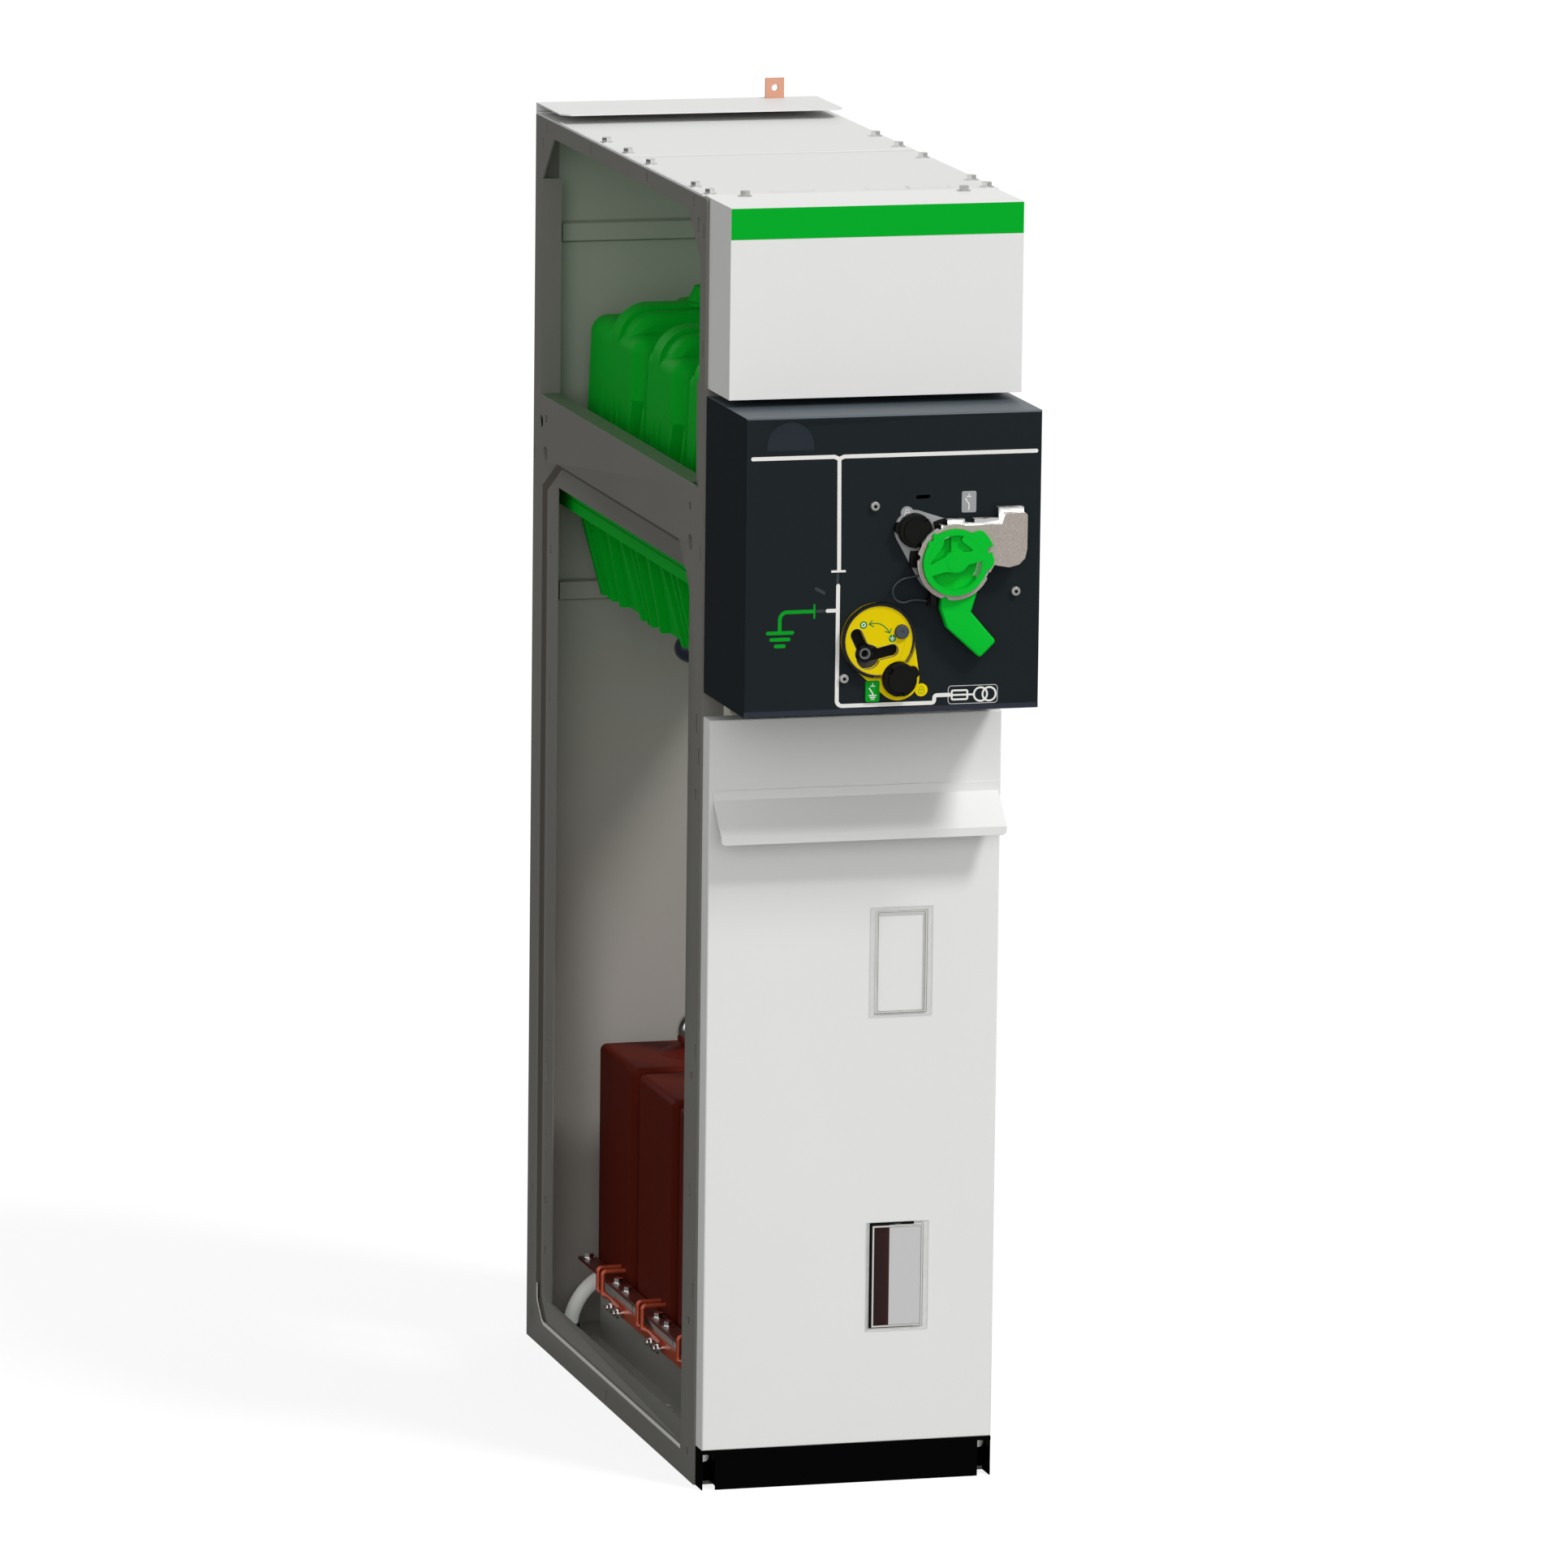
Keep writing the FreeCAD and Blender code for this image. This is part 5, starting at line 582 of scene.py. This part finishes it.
def linePoints(start, end, steps):    # the points between two ends
    return [(start[0] + (end[0] - start[0]) * i / steps, start[1] + (end[1] - start[1]) * i / steps)
            for i in range(1, steps)]


def capsuleOutline(x, z, turn, reach, half):
    endX = x + reach * math.cos(math.radians(turn))
    endZ = z + reach * math.sin(math.radians(turn))
    far = arcPoints(endX, endZ, half, turn - 90, turn + 90, 14)
    near = arcPoints(x, z, half, turn + 90, turn + 270, 14)
    return far + linePoints(far[-1], near[0], 20) + near + linePoints(near[-1], far[0], 20)


def insideCapsule(point, x, z, turn, reach, half):
    along = Vector((math.cos(math.radians(turn)), math.sin(math.radians(turn))))
    away = Vector(point) - Vector((x, z))
    run = min(max(away.dot(along), 0), reach)
    return (away - along * run).length < half - 0.05


def outsideRuns(outline, tests):
    runs, run = [], []
    for point in outline:
        if any(test(point) for test in tests):
            if len(run) > 1:
                runs.append(run)
            run = []
        else:
            run.append(point)
    if len(run) > 1:
        runs.append(run)
    return runs


def slotForms(shrink=0.0):
    k = socket
    return [(k["x"] + shift, k["z"] - shift, turn, reach, k["half"] - shrink) for shift, turn, reach in k["slots"]]


def buildSlotEdges(bm):    # each form's edge where it lies outside the others
    k = socket
    forms = slotForms() + [(k["x"], k["z"], 0.0, 0.01, k["hub"]),
                           (k["x"] + k["shift"], k["z"] - k["shift"], 0.0, 0.01, k["pocket"])]
    for index, form in enumerate(forms):
        others = [lambda p, other=other: insideCapsule(p, *other) for other in forms[:index] + forms[index + 1:]]
        for run in outsideRuns(closed(capsuleOutline(*form)), others):
            addStroke(bm, run, dial["slotLine"], dialFace, 0.1)
    rim = arcPoints(dial["x"], dial["z"], dial["radius"] - 0.2, -60, 300, 120)
    for run in outsideRuns(rim, [lambda p: insideCapsule(p, *dial["knob"])]):
        addStroke(bm, run, dial["edgeLine"], dialFace, 0.1)


def buildSeam(bm):
    addStroke(bm, list(dial["seam"]), dial["seamLine"], dialFace, 0.08)


# Painted shadow: dark bands behind the clear rim, standing in for the shade in the gap between rim and box: outer
# radius and its shift, inner radius, start and end angle, depth, steps
crescent = {"radius": 44.6, "shift": (0.7, 2.3), "inner": dial["radius"], "from": -25.0, "to": 190.0, "back": 0.4,
            "steps": 90}
rimBack = {"radius": 46.3, "shift": (0.0, 0.0), "inner": 43.0, "from": 105.0, "to": 262.0, "back": 0.35, "steps": 60}


def buildBand(band):
    def build(bm):
        b, steps = band, band["steps"]
        outer = arcPoints(dial["x"] + b["shift"][0], dial["z"] + b["shift"][1], b["radius"], b["from"], b["to"], steps)
        inner = arcPoints(dial["x"], dial["z"], b["inner"], b["from"], b["to"], steps)
        for i in range(steps):
            addPlate(bm, [outer[i], outer[i + 1], inner[i + 1], inner[i]], dialFace + b["back"], 0.1)
    return build


# Painted shade: dark discs in the screws' sockets
screwSockets = {"places": ((-24.1, 1246.5), (153.9, 1137.2), (-60.4, 1037.2)), "radius": 1.9, "face": -609.0}


def buildScrewSockets(bm):
    for x, z in screwSockets["places"]:
        addPlate(bm, discOutline(x, z, screwSockets["radius"], 6), screwSockets["face"], 0.08)


# Painted shading: a flat grey disc standing in for the lit and shaded bowl of the pocket
def buildPocketFloor(bm):
    k = socket
    outline = discOutline(k["x"] + k["shift"], k["z"] - k["shift"], k["pocket"] - k["gap"], 40)
    addPlate(bm, outline, k["floor"], 0.3)


# Painted shade: black floors in the slots
def buildSlotFloors(bm):
    for index, form in enumerate(slotForms(socket["gap"])):
        addPlate(bm, capsuleOutline(*form), socket["floor"], 0.32 + 0.02 * index)


addMesh("dial_shadow", buildBand(crescent), "shadow_black", "cubicle")
addMesh("rim_back", buildBand(rimBack), "shadow_black", "cubicle")
addMesh("screw_sockets", buildScrewSockets, "shadow_black", "cubicle")
addMesh("slot_edges", buildSlotEdges, "edge_blue", "cubicle")
addMesh("dial_seam", buildSeam, "lime", "cubicle")
addMesh("pocket_floor", buildPocketFloor, "pocket_shading", "cubicle")
addMesh("slot_floors", buildSlotFloors, "slot_shade", "cubicle")

# Relief inside the green cap: a web with two hollows, each a smooth closed curve round the cap's axis
capRelief = {"axis": (70.0, 1179.0), "radius": 34.3, "face": -634.55, "depth": 12.6, "reach": 33.4, "hub": 11.0,
             "hubRise": 0.35, "floor": 34.1, "floorRise": 0.25,
             "upper": ((-13.8, 32.6), (-1.8, 34.0), (9.7, 33.0), (7.8, 30.1), (7.5, 26.4), (13.7, 21.2), (20.8, 14.8),
                       (13.8, 12.8), (6.2, 12.6), (-1.5, 13.7), (-9.1, 11.5), (-16.6, 5.5), (-26.7, 0.9), (-33.0, -2.6),
                       (-26.8, 7.7), (-19.3, 16.1), (-15.6, 24.7)),
             "lower": ((-30.0, -16.4), (-21.4, -12.9), (-11.3, -10.7), (0.2, -12.3), (9.1, -10.2), (12.8, -6.0),
                       (19.1, -0.6), (26.7, 3.1), (32.4, 2.6), (32.6, -4.2), (31.3, -11.6), (27.6, -18.6),
                       (21.2, -25.6), (13.3, -30.6), (1.8, -33.3), (-10.9, -31.4), (-22.5, -24.6))}


def smoothLoop(points, steps=4):    # a closed curve through the points
    count = len(points)
    loop = []
    for index in range(count):
        a, b, c, d = (Vector(points[(index + shift) % count]) for shift in (-1, 0, 1, 2))
        for step in range(steps):
            t = step / steps
            loop.append(tuple(0.5 * (2 * b + (c - a) * t + (2 * a - 5 * b + 4 * c - d) * t * t
                                     + (3 * b - a - 3 * c + d) * t ** 3)))
    return loop


def buildCapRelief(bm):
    c = capRelief
    loops = [discOutline(0, 0, c["radius"], 72), smoothLoop(c["upper"]), smoothLoop(c["lower"])]
    edges = []
    for loop in loops:
        kept = [Vector(p) if Vector(p).length < c["reach"] or loop is loops[0] else Vector(p).normalized() * c["reach"]
                for p in loop]
        row = [bm.verts.new(placeOn("front", c["axis"][0] + p.x, c["axis"][1] + p.y, c["face"])) for p in kept]
        edges += [bm.edges.new((row[i], row[(i + 1) % len(row)])) for i in range(len(row))]
    bmesh.ops.triangle_fill(bm, edges=edges, use_beauty=True)
    extrudeBy(bm, list(bm.faces), Vector((0, c["depth"] * mm, 0)))
    addPlate(bm, discOutline(*c["axis"], c["hub"], 40), c["face"], c["hubRise"])
    addPlate(bm, discOutline(*c["axis"], c["floor"], 60), c["face"] + c["depth"] - 0.3, c["floorRise"])


addMesh("cap_relief", buildCapRelief, "cap_green", "main_selector")

# Painted highlights: the bright bend along the bottom run of the left frame's pressed step and the beam's lip, where
# the bends catch the light; and the box's lower fold
bend = {"path": ((368.0, 80.0), (368.0, 62.0), (364.0, 54.0), (343.0, 36.0), (335.0, 33.5), (-354.0, 33.5)),
        "width": 5.0, "plane": -186.9}
beamLip = {"path": ((391.0, 1241.0), (-380.0, 1241.0)), "width": 2.0, "plane": -187.15}
boxFold = {"box": (-184.6, 184.6, 993.6, 999.8), "rise": 0.08}


def buildSideLine(line):
    def build(bm):
        addStroke(bm, list(line["path"]), line["width"], line["plane"], 0.3, "left")
    return build


def buildBoxFold(bm):
    addPlate(bm, rectOutline(*boxFold["box"]), boxFace, boxFold["rise"])


addMesh("frame_bend_line", buildSideLine(bend), "bend_highlight", "cubicle")
addMesh("beam_lip_line", buildSideLine(beamLip), "bend_highlight", "cubicle")
addMesh("box_fold", buildBoxFold, "fold_blue", "cubicle")

# Lines of the two window bezels, and a painted shadow for the dark gap seen beside the lower one's frame; back is
# behind the front lines
windows = {"x": 61.3, "levels": (654.7, 259.6), "bezel": (80.0, 137.3), "pane": (65.3, 128.6), "face": -452.75,
           "thin": 0.6, "inset": 4.4, "pale": 1.6, "edge": 0.45, "back": 0.8, "gap": (25.4, 28.6, 194.6, 327.6),
           "gapEnd": 82.0, "gapTop": 3.6, "gapLow": 0.9, "gapBack": 0.75}


def rectStroke(bm, x, z, wide, high, width, face):
    x0, x1, z0, z1 = x - wide / 2, x + wide / 2, z - high / 2, z + high / 2
    addPlate(bm, rectOutline(x0, x1, z1 - width, z1), face, 0.06)
    addPlate(bm, rectOutline(x0, x1, z0, z0 + width), face, 0.06)
    addPlate(bm, rectOutline(x0, x0 + width, z0 + width, z1 - width), face, 0.06)
    addPlate(bm, rectOutline(x1 - width, x1, z0 + width, z1 - width), face, 0.06)


def buildFrameLines(bm):
    w = windows
    for z in w["levels"]:
        for inset in (0, w["inset"]):
            rectStroke(bm, w["x"], z, w["pane"][0] - inset, w["pane"][1] - inset, w["thin"], w["face"])


def buildFramePale(bm):
    w = windows
    for z in w["levels"]:
        inset = 2 * w["thin"]
        rectStroke(bm, w["x"], z, w["pane"][0] - inset, w["pane"][1] - inset, w["pale"], w["face"])
        rectStroke(bm, w["x"], z, *w["bezel"], w["edge"], w["face"] + w["back"])


def buildWindowGap(bm):
    w = windows
    x0, x1, z0, z1 = w["gap"]
    for box in ((x0, x1, z0, z1), (x1, w["gapEnd"], z1 - w["gapTop"], z1), (x1, w["gapEnd"], z0, z0 + w["gapLow"])):
        addPlate(bm, rectOutline(*box), w["face"] + w["gapBack"], 0.05)


addMesh("window_lines", buildFrameLines, "line_grey", "door_panel")
addMesh("window_pale_lines", buildFramePale, "line_pale", "door_panel")
addMesh("window_gap", buildWindowGap, "shadow_black", "door_panel")

# Roof: punched marks (rows along x, ends along y), and the seam between the panels and the bright left edge, both
# painted highlights
roof = {"level": 1601.5, "rows": ((-95.0, -43.0), (25.0, 77.0), (77.0, 129.0)), "ends": (-388.0, -372.0), "mark": 0.7,
        "seam": ((-186.0, -35.0), (186.0, -35.0)), "seamWidth": 1.3, "edge": ((-186.5, -418.0), (-186.5, 300.0)),
        "edgeWidth": 1.6, "line": ((-185.2, -418.0), (-185.2, 300.0)), "lineWidth": 0.9}


def buildRoofMarks(bm):
    for low, high in roof["rows"]:
        corners = rectOutline(low, high, *roof["ends"])
        addStroke(bm, [corners[1], corners[0], corners[3]], roof["mark"], roof["level"], 0.12, "top")
        addStroke(bm, [corners[1], corners[2]], roof["mark"], roof["level"], 0.12, "top")


def buildRoofEdge(bm):
    addStroke(bm, list(roof["seam"]), roof["seamWidth"], roof["level"], 0.1, "top")
    addStroke(bm, list(roof["edge"]), roof["edgeWidth"], roof["level"], 0.14, "top")


def buildRoofLine(bm):
    addStroke(bm, list(roof["line"]), roof["lineWidth"], roof["level"], 0.1, "top")


addMesh("roof_marks", buildRoofMarks, "roof_mark", "cubicle")
addMesh("roof_edge", buildRoofEdge, "roof_highlight", "cubicle")
addMesh("roof_edge_line", buildRoofLine, "label_grey", "cubicle")

greenBand = {"box": (-183.4, 183.4, 1561.3, 1599.2), "face": -518.5}


def buildGreenBand(bm):
    addPlate(bm, rectOutline(*greenBand["box"]), greenBand["face"])


addMesh("green_band", buildGreenBand, "band_green", "cubicle")
print("signs")

# Lanyard: a thin cord from the lever's ring to its clip; points are measured from the selector's axis
lanyard = {"axis": (70.0, 1179.0), "y": -614.0, "diameter": 2.6, "length": 100.5,
           "points": ((-33.0, -16.0), (-45.0, -18.5), (-62.0, -20.5), (-73.5, -31.0), (-72.0, -45.0), (-59.5, -51.5),
                      (-46.0, -45.5), (-30.0, -49.0))}


def addLanyard():
    (axisX, axisZ), y = lanyard["axis"], lanyard["y"]
    places = [((axisX + x) * mm, y * mm, (axisZ + z) * mm) for x, z in lanyard["points"]]
    data = bpy.data.curves.new("lanyard_cord", "CURVE")
    data.dimensions = "3D"
    data.bevel_depth = lanyard["diameter"] / 2 * mm
    data.bevel_resolution = 4
    data.use_fill_caps = True
    spline = data.splines.new("NURBS")
    spline.points.add(len(places) - 1)
    for point, place in zip(spline.points, places):
        point.co = (*place, 1)
    spline.order_u = 3
    spline.use_endpoint_u = True
    spline.resolution_u = 12
    data.materials.append(materials["cord_black"])
    piece = bpy.data.objects.new("lanyard_cord", data)
    bpy.context.scene.collection.objects.link(piece)
    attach(piece, "main_selector")
    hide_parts("lanyard")


addLanyard()
print("lanyard")


# The camera stands where the photo's stood: angles in degrees, lengths in metres, lens and sensor in millimetres
camera = {"azimuth": 15.5439, "elevation": 10.4254, "roll": 0.6875, "distance": 14.7318,
          "target": (0.03483, 0.0, 0.79520), "lens": 268.34, "sensor": 36.0, "farthest": 200.0}


def addCamera():
    a, e, roll = (math.radians(camera[k]) for k in ("azimuth", "elevation", "roll"))
    ahead = Vector((math.sin(a) * math.cos(e), math.cos(a) * math.cos(e), -math.sin(e)))
    side = ahead.cross(Vector((0, 0, 1))).normalized()
    up = side.cross(ahead)
    right = side * math.cos(roll) + up * math.sin(roll)
    top = up * math.cos(roll) - side * math.sin(roll)
    eye = Vector(camera["target"]) - ahead * camera["distance"]
    data = bpy.data.cameras.new("camera")
    data.lens = camera["lens"]
    data.sensor_width = camera["sensor"]
    data.clip_end = camera["farthest"]
    seen = bpy.data.objects.new("camera", data)
    bpy.context.scene.collection.objects.link(seen)
    seen.matrix_world = Matrix.Translation(eye) @ Matrix((right, top, -ahead)).transposed().to_4x4()
    bpy.context.scene.camera = seen


addCamera()

# A soft key from the upper right and a wide fill from the front left
suns = {"sun": {"from": (0.80, -1.0, 1.60), "strength": 2.0, "angle": 12.0},
        "fill": {"from": (-0.25, -1.0, 0.12), "strength": 1.3, "angle": 60.0}}


def addSun(name, place):
    data = bpy.data.lights.new(name, "SUN")
    data.energy = place["strength"]
    data.angle = math.radians(place["angle"])
    lamp = bpy.data.objects.new(name, data)
    lamp.rotation_euler = (-Vector(place["from"])).to_track_quat("-Z", "Y").to_euler()
    bpy.context.scene.collection.objects.link(lamp)


for name, place in suns.items():
    addSun(name, place)

# The floor looks nearly white to the camera and lights the object little
floorLook = {"size": 20.0, "rough": 0.9, "shade": (0.25, 0.2), "glow": (0.05, 0.84)}    # for light rays, for the camera


def addFloor():
    mesh = bpy.data.meshes.new("floor")
    bm = bmesh.new()
    bmesh.ops.create_grid(bm, x_segments=1, y_segments=1, size=floorLook["size"])
    bm.to_mesh(mesh)
    bm.free()
    floor = bpy.data.objects.new("floor", mesh)
    bpy.context.scene.collection.objects.link(floor)
    material, nodes, links = newMaterial("floor_white")
    shader = nodes["Principled BSDF"]
    shader.inputs["Roughness"].default_value = floorLook["rough"]
    shader.inputs["Specular IOR Level"].default_value = 0.0
    shader.inputs["Emission Color"].default_value = (1, 1, 1, 1)
    path = nodes.new("ShaderNodeLightPath")
    for socketName, key in (("Base Color", "shade"), ("Emission Strength", "glow")):
        ramp = nodes.new("ShaderNodeMapRange")
        for inputName, value in zip(("To Min", "To Max"), floorLook[key]):
            ramp.inputs[inputName].default_value = value
        links.new(path.outputs["Is Camera Ray"], ramp.inputs["Value"])
        links.new(ramp.outputs["Result"], shader.inputs[socketName])
    mesh.materials.append(material)
    floor.visible_glossy = False


# White to the camera, a plain grey light, and for mirrors bright only above and in front (from, to, brightness)
skyLook = {"seen": 1.0, "lit": 0.5, "mirrorLow": 0.05, "up": (0.0, 0.25, 1.1), "front": (0.1, 0.9, 0.6)}


def setWorld():
    world = bpy.data.worlds.new("studio")
    bpy.context.scene.world = world
    world.use_nodes = True
    nodes, links = world.node_tree.nodes, world.node_tree.links
    nodes.clear()
    path = nodes.new("ShaderNodeLightPath")
    place = nodes.new("ShaderNodeTexCoord")
    split = nodes.new("ShaderNodeSeparateXYZ")
    links.new(place.outputs["Generated"], split.inputs["Vector"])
    back = nodes.new("ShaderNodeMath")
    back.operation = "MULTIPLY"
    back.inputs[1].default_value = -1.0
    links.new(split.outputs["Y"], back.inputs[0])
    mirror = nodes.new("ShaderNodeMath")
    mirror.operation = "MAXIMUM"
    for index, (key, source) in enumerate((("up", split.outputs["Z"]), ("front", back.outputs[0]))):
        ramp = nodes.new("ShaderNodeMapRange")
        for inputName, value in zip(("From Min", "From Max", "To Max"), skyLook[key]):
            ramp.inputs[inputName].default_value = value
        ramp.inputs["To Min"].default_value = skyLook["mirrorLow"]
        links.new(source, ramp.inputs["Value"])
        links.new(ramp.outputs["Result"], mirror.inputs[index])
    glow = nodes.new("ShaderNodeMix")
    glow.inputs[2].default_value = skyLook["lit"]
    links.new(path.outputs["Is Glossy Ray"], glow.inputs[0])
    links.new(mirror.outputs[0], glow.inputs[3])
    shown = nodes.new("ShaderNodeMix")
    shown.inputs[3].default_value = skyLook["seen"]
    links.new(path.outputs["Is Camera Ray"], shown.inputs[0])
    links.new(glow.outputs[0], shown.inputs[2])
    paint = nodes.new("ShaderNodeBackground")
    paint.inputs["Color"].default_value = (1, 1, 1, 1)
    out = nodes.new("ShaderNodeOutputWorld")
    links.new(shown.outputs[0], paint.inputs["Strength"])
    links.new(paint.outputs["Background"], out.inputs["Surface"])


addFloor()
setWorld()
bpy.context.scene.view_settings.view_transform = "Standard"
print("stage")
